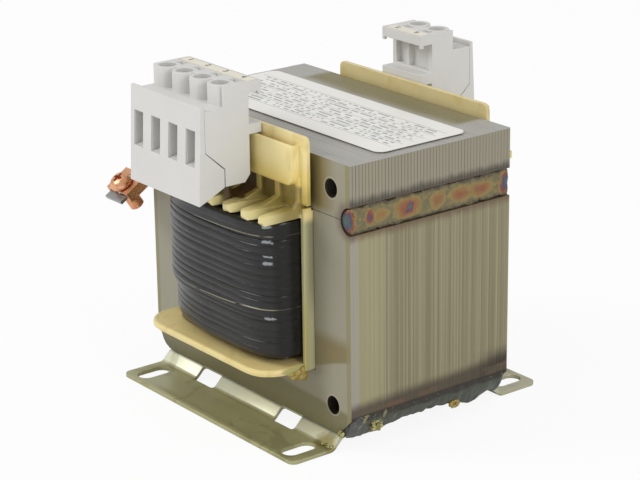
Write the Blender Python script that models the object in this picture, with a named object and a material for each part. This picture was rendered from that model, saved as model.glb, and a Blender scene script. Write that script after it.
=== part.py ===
"""Open-frame mains transformer on an EI 84 core, with screw terminal blocks and an earth clamp.

Every size below is in millimetres. The helpers turn them into metres. The core's sheets keep the
standard proportions of their limb: six limbs wide and five high.
X runs along the core's width, Y through the stack of sheets and Z up. The four-pole block faces -Y.
The pieces are drawn in the core's frame, whose zero is the middle of the core's underside. A root
empty lifts them onto the feet and puts the middle of the whole outline over the origin.
"""
import math

import bmesh
import bpy
from mathutils import Matrix, Vector

MM = 0.001
GAP = 0.3

CORE_WIDTH = 84.0
STACK = 51.2
CORE_HOLE = 4.8

SEAM_HEIGHT = 7.2
SEAM_DEPTH = 3.4
SEAM_SINK = 2.1
SEAM_CROWN = 0.5
BASE_WELD = 4.5

FOOT_INSET = 4.5
FOOT_SHEET = 1.0
FOOT_DROP = 4.3
FOOT_UNDER_CORE = 13.0
FOOT_WEB_RUN = 2.4
FOOT_REACH = 14.9
FOOT_CORNER = 2.0
FOOT_WINDOW_SPACING = 34.8
FOOT_WINDOW_WIDTH = 8.6
FOOT_WINDOW_REACH = 2.9
SLOT_INSET = 10.0
SLOT_WIDTH = 4.8
SLOT_LENGTH = 9.4
SLOT_FROM_CORE = 8.7

TUBE_WALL = 1.0
FLANGE_THICK = 1.7
FLANGE_REACH = 14.9
FLANGE_CORNER = 7.5
SIDE_WALL = 1.0
SIDE_WALL_REACH = 2.8
COMB_THICK = 2.4
COMB_REACH = 14.6
FINGER_TIP = 3.2
FINGER_ROOT_GAP = 0.7
PLATE_STANDOFF = 1.5
PLATE_THICK = 1.2
PLATE_CLEARANCE = 2.4
PLATE_RISE = 4.5
PLATE_CORNER = 1.6
REAR_PLATE_RISE = 3.3
REAR_PLATE_MORE = 2.3
REAR_PLATE_LESS = 1.0
POCKET_INSET = 2.9
POCKET_REACH = 2.1
POCKET_WALL = 0.9
POCKET_HEIGHT = 10.1
POCKET_DROP = 2.4
POCKET_CORNER = 2.4
RIB_THICK = 1.8
RIB_REACH = 1.3
GUSSET_REACH = 6.0
GUSSET_RISE = 1.8
ARM_LENGTH = 8.7
ARM_HEIGHT = 1.9
ARM_FROM_TOP = 13.3

INNER_COIL_SHARE = 0.56
WRAP_THICK = 1.7
COIL_CLEARANCE = 0.5
COIL_REACH = 13.4
COIL_LIFT = 2.2
COIL_ROUND_LEFT = 2.2
COIL_ROUND_RIGHT = 4.0
COIL_POINTS = 48

POLE_PITCH = 7.5
BLOCK_START = 3.5
BLOCK_SIDE = 4.25
BLOCK_HEIGHT = 25.1
BLOCK_DEPTH = 13.1
BLOCK_STANDOFF = 3.7
BLOCK_BELOW_RAIL = 11.9
SHELF_ABOVE_RAIL = 8.0
RAIL_THICK = 2.6
LEDGE_THICK = 2.7
LEDGE_NUB = 0.8
COVER_THICK = 0.7
COVER_LEAN = 1.2
COVER_RISE = 1.1
COVER_WEDGE = 5.7
COVER_SEAM_RISE = 5.0
COVER_HEEL = 4.6
COVER_DROP = 3.6
TOWER_FROM_BACK = 5.3
TOWER_RADIUS = 3.2
TOWER_BORE = 4.4
END_WALL = 1.0
END_WALL_FROM_BACK = 7.3
ENTRY_WIDTH = 3.9
ENTRY_HEIGHT = 9.0
ENTRY_BELOW_RAIL = 6.1
CAGE_SIZE = 5.2
CAGE_HEIGHT = 11.3
CAGE_WALL = 0.7
CAGE_TOP = 3.0
CAGE_LIFT = 6.2
NOTCH_WIDTH = 3.4
NOTCH_LENGTH = 2.0
NOTCH_DEPTH = 1.2
POCKET_SINK = 1.6
MARKER_THICK = 0.5
MARKER_DEPTH = 3.5
SCREW_SHANK = 2.6
SCREW_HEAD = 3.8
SCREW_HEAD_HEIGHT = 2.2
SCREW_LENGTH = 8.2
SCREW_SLOT = 0.7
LEAD_WIRE = 1.8
LEAD_FROM_BACK = 4.0

LUG_SHEET = 1.0
LUG_EYE = 4.5
LUG_WIDTH = 7.4
LUG_DROP = 14.3
LUG_LEAN = 31.0
LUG_TILT = 57.0
LUG_TAB = 9.5
LUG_TAB_END = 4.7
SADDLE_LENGTH = 7.6
SADDLE_SHEET = 0.8
SADDLE_LIP = 2.4
SADDLE_BEHIND = 1.3
CLAMP_SCREW = 4.0
CLAMP_HEAD = 6.4
CLAMP_HEAD_HEIGHT = 2.4
CLAMP_SCREW_REACH = 6.2
RIVET_HEAD = 7.0
RIVET_HEAD_HEIGHT = 1.2
RIVET_LENGTH = 10.0

LABEL_INSET = 2.5
LABEL_WIDTH = 28.2
LABEL_CORNER = 2.5
LABEL_THICK = 0.2
LABEL_SHIFT = -0.4

limb = CORE_WIDTH / 6
core_height = 5 * limb
half_core = CORE_WIDTH / 2
block_shift = -POLE_PITCH / 2
face = STACK / 2
joint_z = core_height - limb
window_out = half_core - limb
window_in = limb
hole_inset = limb / 2
hole_x = half_core - hole_inset
plate_in = face + PLATE_STANDOFF
plate_out = plate_in + PLATE_THICK
plate_top = core_height + PLATE_RISE
plate_half = hole_x - RIVET_HEAD / 2 - PLATE_CLEARANCE
rear_plate_half = plate_half + REAR_PLATE_MORE
rear_plate_left = plate_half - REAR_PLATE_LESS
rear_plate_top = core_height + REAR_PLATE_RISE
pocket_top = plate_top - POCKET_DROP
flange_bottom = limb + GAP
flange_top = flange_bottom + FLANGE_THICK
comb_bottom = joint_z - GAP - FLANGE_THICK
comb_top = comb_bottom + COMB_THICK
tube_x = window_in + GAP
tube_y = face + GAP
coil_bottom = flange_top + GAP
coil_half = window_out - GAP - SIDE_WALL - COIL_CLEARANCE
coil_top = comb_bottom - GAP


def box_mesh(low, high):
    mesh = bmesh.new()
    bmesh.ops.create_cube(mesh, size=1.0)
    size = [(b - a) * MM for a, b in zip(low, high)]
    middle = [(a + b) / 2 * MM for a, b in zip(low, high)]
    bmesh.ops.scale(mesh, vec=size, verts=mesh.verts)
    bmesh.ops.translate(mesh, vec=middle, verts=mesh.verts)
    return mesh


def prism_mesh(outline, axis, low, high):
    """Extrude a flat outline along an axis; the outline holds the two other coordinates in order."""
    place = {
        "X": lambda p, along: (along, p[0], p[1]),
        "Y": lambda p, along: (p[0], along, p[1]),
        "Z": lambda p, along: (p[0], p[1], along),
    }[axis]
    mesh = bmesh.new()
    near = [mesh.verts.new(Vector(place(p, low)) * MM) for p in outline]
    far = [mesh.verts.new(Vector(place(p, high)) * MM) for p in outline]
    mesh.faces.new(near)
    mesh.faces.new(far)
    for i in range(len(outline)):
        j = (i + 1) % len(outline)
        mesh.faces.new((near[i], near[j], far[j], far[i]))
    bmesh.ops.recalc_face_normals(mesh, faces=mesh.faces)
    return mesh


def ring_mesh(outer, inner, low, high):
    """A closed band between two loops of as many points, standing from low to high."""
    mesh = bmesh.new()
    loops = []
    for outline, z in ((outer, low), (outer, high), (inner, high), (inner, low)):
        loops.append([mesh.verts.new(Vector((x, y, z)) * MM) for x, y in outline])
    for a, b in zip(loops, loops[1:] + loops[:1]):
        for i in range(len(a)):
            j = (i + 1) % len(a)
            mesh.faces.new((a[i], a[j], b[j], b[i]))
    bmesh.ops.recalc_face_normals(mesh, faces=mesh.faces)
    return mesh


def rod_mesh(start, end, radius, segments=24):
    """A round bar from one point to another."""
    start = Vector(start)
    end = Vector(end)
    mesh = bmesh.new()
    bmesh.ops.create_cone(mesh, cap_ends=True, segments=segments, radius1=radius * MM,
                          radius2=radius * MM, depth=(end - start).length * MM)
    turn = (end - start).to_track_quat("Z", "Y").to_matrix().to_4x4()
    bmesh.ops.transform(mesh, matrix=Matrix.Translation((start + end) / 2 * MM) @ turn,
                        verts=mesh.verts)
    return mesh


def rounded_outline(half_x, half_y, radius, steps=6, shift_x=0.0):
    """A rectangle about the origin with round corners."""
    points = []
    for corner, (sx, sy) in enumerate(((1, 1), (-1, 1), (-1, -1), (1, -1))):
        for step in range(steps + 1):
            angle = math.radians(90 * (corner + step / steps))
            points.append((sx * (half_x - radius) + radius * math.cos(angle) + shift_x,
                           sy * (half_y - radius) + radius * math.sin(angle)))
    return points


def tray_outline(half, low, high, radius, steps=6):
    """An upright rectangle about x = 0 whose two lower corners are round."""
    points = [(half, high)]
    for step in range(steps + 1):
        angle = math.radians(-90 * step / steps)
        points.append((half - radius + radius * math.cos(angle), low + radius + radius * math.sin(angle)))
    return points + [(-x, z) for x, z in reversed(points)]


def material(name, colour, roughness, metallic=0.0):
    found = bpy.data.materials.get(name)
    if found:
        return found
    made = bpy.data.materials.new(name)
    made.use_nodes = True
    shader = made.node_tree.nodes["Principled BSDF"]
    shader.inputs["Base Color"].default_value = (*colour, 1.0)
    shader.inputs["Roughness"].default_value = roughness
    shader.inputs["Metallic"].default_value = metallic
    made.diffuse_color = (*colour, 1.0)
    return made


def add_object(name, mesh, look, smooth=False):
    data = bpy.data.meshes.new(name)
    mesh.to_mesh(data)
    mesh.free()
    if smooth:
        data.shade_smooth()
        data.set_sharp_from_angle(angle=math.radians(35))
    piece = bpy.data.objects.new(name, data)
    piece.parent = root
    bpy.context.collection.objects.link(piece)
    if look:
        data.materials.append(look)
    return piece


def combine(piece, mesh, operation):
    """Join or cut a piece with a helper shape that is hidden from the finished model."""
    helper = add_object(f"{piece.name}_{operation.lower()}_{len(piece.modifiers)}", mesh, None)
    helper.hide_render = True
    helper.display_type = "WIRE"
    step = piece.modifiers.new(operation.title(), "BOOLEAN")
    step.operation = operation
    step.solver = "EXACT"
    step.object = helper


def ellipse_half(depth, half_height, centre_z, sign, steps=10):
    """Points of a groove's wall, from its lower lip to its upper lip, on the side of the sign."""
    points = []
    for step in range(steps + 1):
        angle = math.radians(-90 + 180 * step / steps)
        points.append((sign * (half_core - depth * math.cos(angle)),
                       centre_z + half_height * math.sin(angle)))
    return points


def build_core():
    """The welded stack of E sheets and the stack of I sheets that closes it at the top."""
    steel = material("lamination_steel", (0.26, 0.24, 0.17), 0.45, 0.7)
    low_joint = joint_z - GAP / 2
    high_joint = joint_z + GAP / 2
    groove = ellipse_half(SEAM_DEPTH, SEAM_HEIGHT / 2, joint_z, 1)
    below = [p for p in groove if p[1] < low_joint]
    above = [p for p in groove if p[1] > high_joint]
    chamfer = BASE_WELD + GAP
    right = [(half_core - chamfer, 0.0), (half_core, chamfer), *below,
             (below[-1][0], low_joint), (window_out, low_joint), (window_out, limb),
             (window_in, limb), (window_in, low_joint)]
    outline = right + [(-x, z) for x, z in reversed(right)]
    e_stack = add_object("core_e_stack", prism_mesh(outline, "Y", -face, face), steel)
    right = [(above[0][0], high_joint), *above, (half_core, core_height)]
    outline = right + [(-x, z) for x, z in reversed(right)]
    i_stack = add_object("core_i_stack", prism_mesh(outline, "Y", -face, face), steel)
    for side in (-1, 1):
        for piece, z in ((e_stack, hole_inset), (i_stack, core_height - hole_inset)):
            x = side * hole_x
            drill = rod_mesh((x, -face - 1, z), (x, face + 1, z), CORE_HOLE / 2)
            combine(piece, drill, "DIFFERENCE")


def build_welds():
    """Two beads across the joint of the stacks and two beads along the core's lower edges."""
    bead = material("weld_bead", (0.20, 0.17, 0.13), 0.4, 0.8)
    scale = SEAM_DEPTH - GAP
    reach = SEAM_HEIGHT / 2 - GAP
    spread = reach * math.sqrt(1 - (SEAM_SINK / scale) ** 2)
    length = face - GAP
    for name, side in (("left", -1), ("right", 1)):
        wall = [p for p in ellipse_half(scale, reach, joint_z, side) if abs(p[1] - joint_z) < spread]
        lip = half_core - SEAM_SINK
        crown = [(side * (lip + SEAM_CROWN * math.cos(math.radians(a))),
                  joint_z + spread * math.sin(math.radians(a))) for a in (90, 60, 30, 0, -30, -60, -90)]
        add_object(f"seam_weld_{name}", prism_mesh(wall + crown, "Y", -length, length), bead)
        centre = (side * (half_core - BASE_WELD), BASE_WELD)
        arc = [(centre[0] + side * BASE_WELD * math.cos(math.radians(a)),
                centre[1] - BASE_WELD * math.sin(math.radians(a))) for a in range(0, 91, 15)]
        add_object(f"base_weld_{name}", prism_mesh(arc, "Y", -length, length), bead)


def build_feet():
    """Two bent steel strips under the core, each with two windows in its bend and two slots."""
    zinc = material("foot_steel", (0.28, 0.28, 0.20), 0.35, 0.8)
    top = -GAP
    sole = -FOOT_DROP
    near = face - 0.6
    web_out = face + FOOT_WEB_RUN
    reach = face + FOOT_REACH
    lean = FOOT_SHEET * 0.45
    for name, side in (("front", -1), ("rear", 1)):
        outline = [(near - FOOT_UNDER_CORE, top), (near, top), (web_out, sole + FOOT_SHEET),
                   (reach, sole + FOOT_SHEET), (reach, sole), (web_out - lean, sole),
                   (near - lean, top - FOOT_SHEET), (near - FOOT_UNDER_CORE, top - FOOT_SHEET)]
        outline = [(side * y, z) for y, z in outline]
        half = half_core - FOOT_INSET
        foot = add_object(f"foot_{name}", prism_mesh(outline, "X", -half, half), zinc)
        for end in (-1, 1):
            x = end * FOOT_WINDOW_SPACING / 2
            wide = FOOT_WINDOW_WIDTH / 2
            low, high = sorted((side * (near - 0.6), side * (face + FOOT_WINDOW_REACH)))
            window = box_mesh((x - wide, low, sole - 1), (x + wide, high, top + 1))
            combine(foot, window, "DIFFERENCE")
            x = end * (half_core - SLOT_INSET)
            slot = [(x + p, side * (face + SLOT_FROM_CORE) + q) for p, q in
                    rounded_outline(SLOT_WIDTH / 2, SLOT_LENGTH / 2, SLOT_WIDTH / 2 - 0.01, 8)]
            combine(foot, prism_mesh(slot, "Z", sole - 1, sole + FOOT_SHEET + 1), "DIFFERENCE")
            tip = Vector((end * half, side * reach))
            inner = tip - Vector((end * FOOT_CORNER, side * FOOT_CORNER))
            arc = [(inner.x + end * FOOT_CORNER * math.cos(math.radians(a)),
                    inner.y + side * FOOT_CORNER * math.sin(math.radians(a))) for a in range(0, 91, 15)]
            past = [(inner.x, tip.y + side), (tip.x + end, tip.y + side), (tip.x + end, inner.y)]
            corner = prism_mesh(arc + past, "Z", sole - 1, sole + FOOT_SHEET + 1)
            combine(foot, corner, "DIFFERENCE")


def finger_places():
    """The middles of the comb's fingers, one pole pitch apart, as many as the window's width takes."""
    fingers = 2 * math.floor((window_out - GAP - SIDE_WALL) / POLE_PITCH + 0.5)
    return [(finger - (fingers - 1) / 2) * POLE_PITCH for finger in range(fingers)]


def comb_outline(side):
    """The coil former's upper flange beside the core: a comb with round-ended fingers."""
    root_y = plate_out + 1.0
    tip_y = face + COMB_REACH
    tip = FINGER_TIP / 2
    root = (POLE_PITCH - FINGER_ROOT_GAP) / 2
    edge = window_out - GAP - SIDE_WALL
    inner_y = face + GAP
    points = [(-edge, inner_y)]
    for x in finger_places():
        low = max(x - root, -edge)
        high = min(x + root, edge)
        middle = (max(x - tip, -edge) + min(x + tip, edge)) / 2
        half = (min(x + tip, edge) - max(x - tip, -edge)) / 2
        points.append((low, root_y))
        for angle in range(180, -1, -30):
            points.append((middle + half * math.cos(math.radians(angle)),
                           tip_y - half + half * math.sin(math.radians(angle))))
        points.append((high, root_y))
    points.append((edge, inner_y))
    return [(x, side * y) for x, y in points]


def build_former():
    """The moulded coil former: tube, flanges, side walls, combs and the two carrier plates."""
    nylon = material("cream_nylon", (0.66, 0.55, 0.28), 0.45)
    tube_out_x = tube_x + TUBE_WALL
    tube_out_y = tube_y + TUBE_WALL
    former = add_object("coil_former", ring_mesh(
        rounded_outline(tube_out_x, tube_out_y, 0.3, 1), rounded_outline(tube_x, tube_y, 0.3, 1),
        flange_bottom + 0.3, joint_z - 2 * GAP), nylon)
    hole = 0.4
    wall_in = window_out - GAP - SIDE_WALL
    outer = rounded_outline(wall_in, face + FLANGE_REACH, FLANGE_CORNER)
    inner = rounded_outline(tube_x + hole, tube_y + hole, 0.5)
    combine(former, ring_mesh(outer, inner, flange_bottom, flange_top), "UNION")
    wall_out = window_out - GAP
    outer = rounded_outline(wall_out, plate_out, 0.5)
    combine(former, ring_mesh(outer, inner, comb_bottom, joint_z - GAP), "UNION")
    wall_y = face + SIDE_WALL_REACH
    for side in (-1, 1):
        low, high = sorted((side * (wall_in - 0.2), side * wall_out))
        wall = box_mesh((low, -wall_y, flange_bottom), (high, wall_y, joint_z - GAP))
        combine(former, wall, "UNION")
        for face_side in (-1, 1):
            near, far = sorted((face_side * (face + GAP), face_side * wall_y))
            cap = box_mesh((low, near, comb_bottom + 0.5), (high, far, comb_top))
            combine(former, cap, "UNION")
    for side in (-1, 1):
        comb = prism_mesh(comb_outline(side), "Z", comb_bottom, comb_top)
        combine(former, comb, "UNION")
        right, left = (plate_half, plate_half) if side < 0 else (rear_plate_half, rear_plate_left)
        top = plate_top if side < 0 else rear_plate_top
        arc = [(PLATE_CORNER * (math.cos(math.radians(a)) - 1), PLATE_CORNER * (math.sin(math.radians(a)) - 1))
               for a in range(0, 91, 15)]
        outline = [(right, comb_top + 1.0), *[(right + dx, top + dz) for dx, dz in arc]]
        outline += [*[(-left - dx, top + dz) for dx, dz in reversed(arc)], (-left, comb_top + 1.0)]
        skirt = [(wall_in, comb_top + 1.0), (wall_in, comb_bottom + 0.5)]
        outline += [(-x, z) for x, z in skirt] + list(reversed(skirt))
        low, high = sorted((side * plate_in, side * plate_out))
        combine(former, prism_mesh(outline, "Y", low, high), "UNION")
        half = plate_half - POCKET_INSET
        low, high = sorted((side * (plate_out - 0.4), side * (plate_out + POCKET_REACH)))
        pocket_low = pocket_top - POCKET_HEIGHT
        pocket = prism_mesh(tray_outline(half, pocket_low, pocket_top, POCKET_CORNER), "Y", low, high)
        combine(former, pocket, "UNION")
        half -= POCKET_WALL
        low, high = sorted((side * plate_out, side * (plate_out + POCKET_REACH - POCKET_WALL)))
        hollow = prism_mesh(tray_outline(half, pocket_low + POCKET_WALL, pocket_top + 1,
                                         POCKET_CORNER - POCKET_WALL), "Y", low, high)
        combine(former, hollow, "DIFFERENCE")
        tray_half = plate_half - POCKET_INSET
        for x in finger_places():
            low, high = max(x - RIB_THICK / 2, -wall_in), min(x + RIB_THICK / 2, wall_in)
            end_rib = abs(x) + RIB_THICK / 2 > tray_half - POCKET_CORNER
            reach = plate_out + (RIB_REACH / 2 if end_rib else RIB_REACH)
            toe = reach + (GUSSET_RISE if end_rib else GUSSET_REACH)
            web_top = pocket_low + (POCKET_CORNER if end_rib else 0.3)
            web = [(side * y, z) for y, z in
                   ((plate_out - 0.4, comb_top - 0.3), (toe, comb_top - 0.3),
                    (reach, comb_top + GUSSET_RISE), (reach, web_top), (plate_out - 0.4, web_top))]
            combine(former, prism_mesh(web, "X", low, high), "UNION")
    arm_top = plate_top - ARM_FROM_TOP + ARM_HEIGHT
    start = rear_plate_half - 0.5
    arm = box_mesh((start, plate_in, arm_top - ARM_HEIGHT),
                   (start + ARM_LENGTH + 0.5, plate_out - 0.2, arm_top))
    combine(former, arm, "UNION")


def coil_loop(half_x, reach, round_left, round_right):
    """A winding's outline: straight inside the core's windows and bulged at both ends."""
    straight = face + GAP
    quarter = round(COIL_POINTS / 4)
    ends = []
    for step in range(2 * quarter + 1):
        angle = math.pi * step / (2 * quarter)
        power = 2 / (round_right if step <= quarter else round_left)
        across = abs(math.cos(angle)) ** power
        out = abs(math.sin(angle)) ** power
        x = half_x * across * (1 if step <= quarter else -1)
        ends.append((x, straight + (reach - straight) * out))
    rear = ends
    front = [(x, -y) for x, y in reversed(ends)]
    return rear + front


def build_windings():
    """The copper winding on the tube, the tape round it and the thick outer winding."""
    enamel = material("enamelled_copper", (0.30, 0.11, 0.05), 0.4, 0.6)
    tape = material("brown_tape", (0.05, 0.035, 0.025), 0.45)
    black = material("varnished_wire", (0.03, 0.03, 0.032), 0.25)
    square = 16.0
    soft = 4.0
    start_x = tube_x + TUBE_WALL + 2 * GAP
    start_y = tube_y + TUBE_WALL + 2 * GAP
    thick = INNER_COIL_SHARE * (coil_half - start_x - WRAP_THICK - 2 * GAP)
    copper_x = start_x + thick
    copper_y = start_y + 1.13 * thick
    add_object("inner_winding", ring_mesh(
        coil_loop(copper_x, copper_y, soft, soft), coil_loop(start_x, start_y, square, square),
        coil_bottom, coil_top), enamel, smooth=True)
    tape_x = copper_x + GAP
    tape_y = copper_y + GAP
    add_object("winding_tape", ring_mesh(
        coil_loop(tape_x + WRAP_THICK, tape_y + WRAP_THICK, soft, soft),
        coil_loop(tape_x, tape_y, soft, soft), coil_bottom, coil_top), tape, smooth=True)
    outer_x = tape_x + WRAP_THICK + GAP
    outer_y = tape_y + WRAP_THICK + GAP
    add_object("outer_winding", ring_mesh(
        coil_loop(coil_half, face + COIL_REACH, COIL_ROUND_LEFT, COIL_ROUND_RIGHT),
        coil_loop(outer_x, outer_y, soft, soft), coil_bottom + COIL_LIFT, coil_top), black, smooth=True)


def build_block(name, poles, side):
    """One screw terminal block: housing, snap-on cover, marker strip, clamp cages and screws.

    Heights are taken from the underside of the rail that lies on the former's pocket, and depths
    from the block's back, outwards.
    """
    grey = material("block_plastic", (0.62, 0.61, 0.57), 0.5)
    cream = material("marker_plastic", (0.80, 0.77, 0.66), 0.5)
    plated = material("plated_steel", (0.33, 0.33, 0.32), 0.35, 0.8)
    half = (poles - 1) * POLE_PITCH / 2 + BLOCK_SIDE
    left = block_shift - half + (BLOCK_SIDE - BLOCK_START if side < 0 else 0)
    right = block_shift + half
    back = plate_out + GAP + BLOCK_STANDOFF
    rail_z = pocket_top + GAP
    floor = rail_z - BLOCK_BELOW_RAIL
    shelf = rail_z + SHELF_ABOVE_RAIL
    top = floor + BLOCK_HEIGHT
    front = back + BLOCK_DEPTH
    tower_y = back + TOWER_FROM_BACK
    heel = front - COVER_WEDGE

    def spot(depth):
        return side * depth

    def block_box(x0, x1, depth0, depth1, z0, z1):
        low, high = sorted((spot(depth0), spot(depth1)))
        return box_mesh((x0, low, z0), (x1, high, z1))

    hook = plate_out + GAP
    outline = [(back, floor + 1.9), (back + 1.6, floor), (heel, floor), (heel, floor + COVER_HEEL),
               (front, floor + COVER_HEEL + COVER_SEAM_RISE), (front, shelf), (tower_y - 0.6, shelf),
               (tower_y - 0.6, top), (hook, top), (hook, top - LEDGE_THICK), (back, top - LEDGE_THICK),
               (back, rail_z + RAIL_THICK), (hook, rail_z + RAIL_THICK), (hook, rail_z), (back, rail_z)]
    profile = [(spot(depth), z) for depth, z in outline]
    housing = add_object(f"{name}_housing", prism_mesh(profile, "X", left, right), grey)
    for x0, x1 in ((left, left + END_WALL), (right - END_WALL, right)):
        wall = block_box(x0, x1, tower_y - 1, back + END_WALL_FROM_BACK, shelf - 1, top)
        combine(housing, wall, "UNION")
        nub = block_box(x0, x1, hook, hook + 0.9, top - LEDGE_THICK - LEDGE_NUB, top - LEDGE_THICK + 0.5)
        combine(housing, nub, "UNION")
    entry_z = rail_z - ENTRY_BELOW_RAIL
    entry_top = entry_z + ENTRY_HEIGHT
    cage_z = floor + CAGE_LIFT
    cage_back = tower_y - CAGE_SIZE / 2
    chamber = CAGE_SIZE / 2 + GAP
    places = [block_shift + (pole - (poles - 1) / 2) * POLE_PITCH for pole in range(poles)]
    for x in places:
        tower = rod_mesh((x, spot(tower_y), shelf - 1), (x, spot(tower_y), top), TOWER_RADIUS, 32)
        combine(housing, tower, "UNION")
    for x in places:
        chamber_top = cage_z + CAGE_HEIGHT + GAP
        cell = block_box(x - chamber, x + chamber, tower_y - chamber, tower_y + chamber,
                         cage_z - GAP, chamber_top)
        combine(housing, cell, "DIFFERENCE")
        bore = rod_mesh((x, spot(tower_y), chamber_top - 1), (x, spot(tower_y), top + 1),
                        TOWER_BORE / 2)
        combine(housing, bore, "DIFFERENCE")
        entry = block_box(x - ENTRY_WIDTH / 2, x + ENTRY_WIDTH / 2, tower_y + 1, front + 1,
                          entry_z, entry_top)
        combine(housing, entry, "DIFFERENCE")
    low_pocket = rail_z + RAIL_THICK + 0.6
    high_pocket = top - LEDGE_THICK - 0.6
    edges = [left + END_WALL] + [x + 1.9 for x in places[:-1]] + [right - END_WALL]
    for x0, x1 in zip(edges, edges[1:]):
        dent = block_box(x0 + 0.5, x1 - 0.5, back - 0.5, back + POCKET_SINK, low_pocket, high_pocket)
        combine(housing, dent, "DIFFERENCE")
    marker_in = hook + 0.3
    marker_out = marker_in + MARKER_DEPTH
    tray = block_box(left + 0.5, right - 0.5, marker_in, marker_out, top - MARKER_THICK - GAP, top + 1)
    combine(housing, tray, "DIFFERENCE")
    for x in places:
        notch_y = marker_out + GAP
        notch = block_box(x - 0.3 * NOTCH_WIDTH, x + 0.7 * NOTCH_WIDTH, notch_y,
                          notch_y + NOTCH_LENGTH, top - NOTCH_DEPTH, top + 1)
        combine(housing, notch, "DIFFERENCE")
    marker = block_box(left + 0.5 + GAP, right - 0.5 - GAP, marker_in + GAP, marker_out - GAP,
                       top - MARKER_THICK, top)
    add_object(f"{name}_marker", marker, cream)

    slope = GAP * 0.5
    outer = front + GAP + COVER_THICK
    heel_out = heel + GAP
    seam_low = floor + COVER_HEEL - slope
    seam_high = seam_low + COVER_SEAM_RISE
    outline = [(outer + COVER_LEAN, floor - COVER_DROP), (outer, shelf + COVER_RISE),
               (front + GAP, shelf + COVER_RISE), (front + GAP, seam_high), (heel_out, seam_low),
               (heel_out, floor - 0.1)]
    profile = [(spot(depth), z) for depth, z in outline]
    cover = add_object(f"{name}_cover", prism_mesh(profile, "X", left, right), grey)
    for x in places:
        mouth = block_box(x - ENTRY_WIDTH / 2, x + ENTRY_WIDTH / 2, heel - 1, outer + COVER_LEAN + 1,
                          entry_z, entry_top)
        combine(cover, mouth, "DIFFERENCE")

    for number, x in enumerate(places, 1):
        cage = add_object(f"{name}_cage_{number}", block_box(
            x - CAGE_SIZE / 2, x + CAGE_SIZE / 2, cage_back, cage_back + CAGE_SIZE,
            cage_z, cage_z + CAGE_HEIGHT), plated)
        throat = CAGE_SIZE / 2 - CAGE_WALL
        window = block_box(x - throat, x + throat, cage_back - 1, cage_back + CAGE_SIZE + 1,
                           cage_z + CAGE_WALL, cage_z + CAGE_HEIGHT - CAGE_TOP)
        combine(cage, window, "DIFFERENCE")
        thread = rod_mesh((x, spot(tower_y), cage_z + CAGE_HEIGHT - CAGE_TOP - 1),
                          (x, spot(tower_y), cage_z + CAGE_HEIGHT + 1), SCREW_SHANK / 2 + GAP)
        combine(cage, thread, "DIFFERENCE")
        seat = cage_z + CAGE_HEIGHT + GAP
        screw = add_object(f"{name}_screw_{number}", rod_mesh(
            (x, spot(tower_y), seat), (x, spot(tower_y), seat + SCREW_HEAD_HEIGHT),
            SCREW_HEAD / 2), plated)
        shank = rod_mesh((x, spot(tower_y), seat + SCREW_HEAD_HEIGHT / 2 - SCREW_LENGTH),
                         (x, spot(tower_y), seat + SCREW_HEAD_HEIGHT / 2), SCREW_SHANK / 2)
        combine(screw, shank, "UNION")
        slot = block_box(x - SCREW_HEAD, x + SCREW_HEAD, tower_y - SCREW_SLOT / 2,
                         tower_y + SCREW_SLOT / 2, seat + SCREW_HEAD_HEIGHT - 0.9,
                         seat + SCREW_HEAD_HEIGHT + 1)
        combine(screw, slot, "DIFFERENCE")

    dark = material("lead_insulation", (0.04, 0.035, 0.03), 0.4)
    lead_y = back + LEAD_FROM_BACK
    for number, x in enumerate(places, 1):
        lead = rod_mesh((x, spot(lead_y), coil_top + GAP), (x, spot(lead_y), floor - GAP),
                        LEAD_WIRE / 2, 16)
        add_object(f"{name}_lead_{number}", lead, dark, smooth=True)


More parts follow.
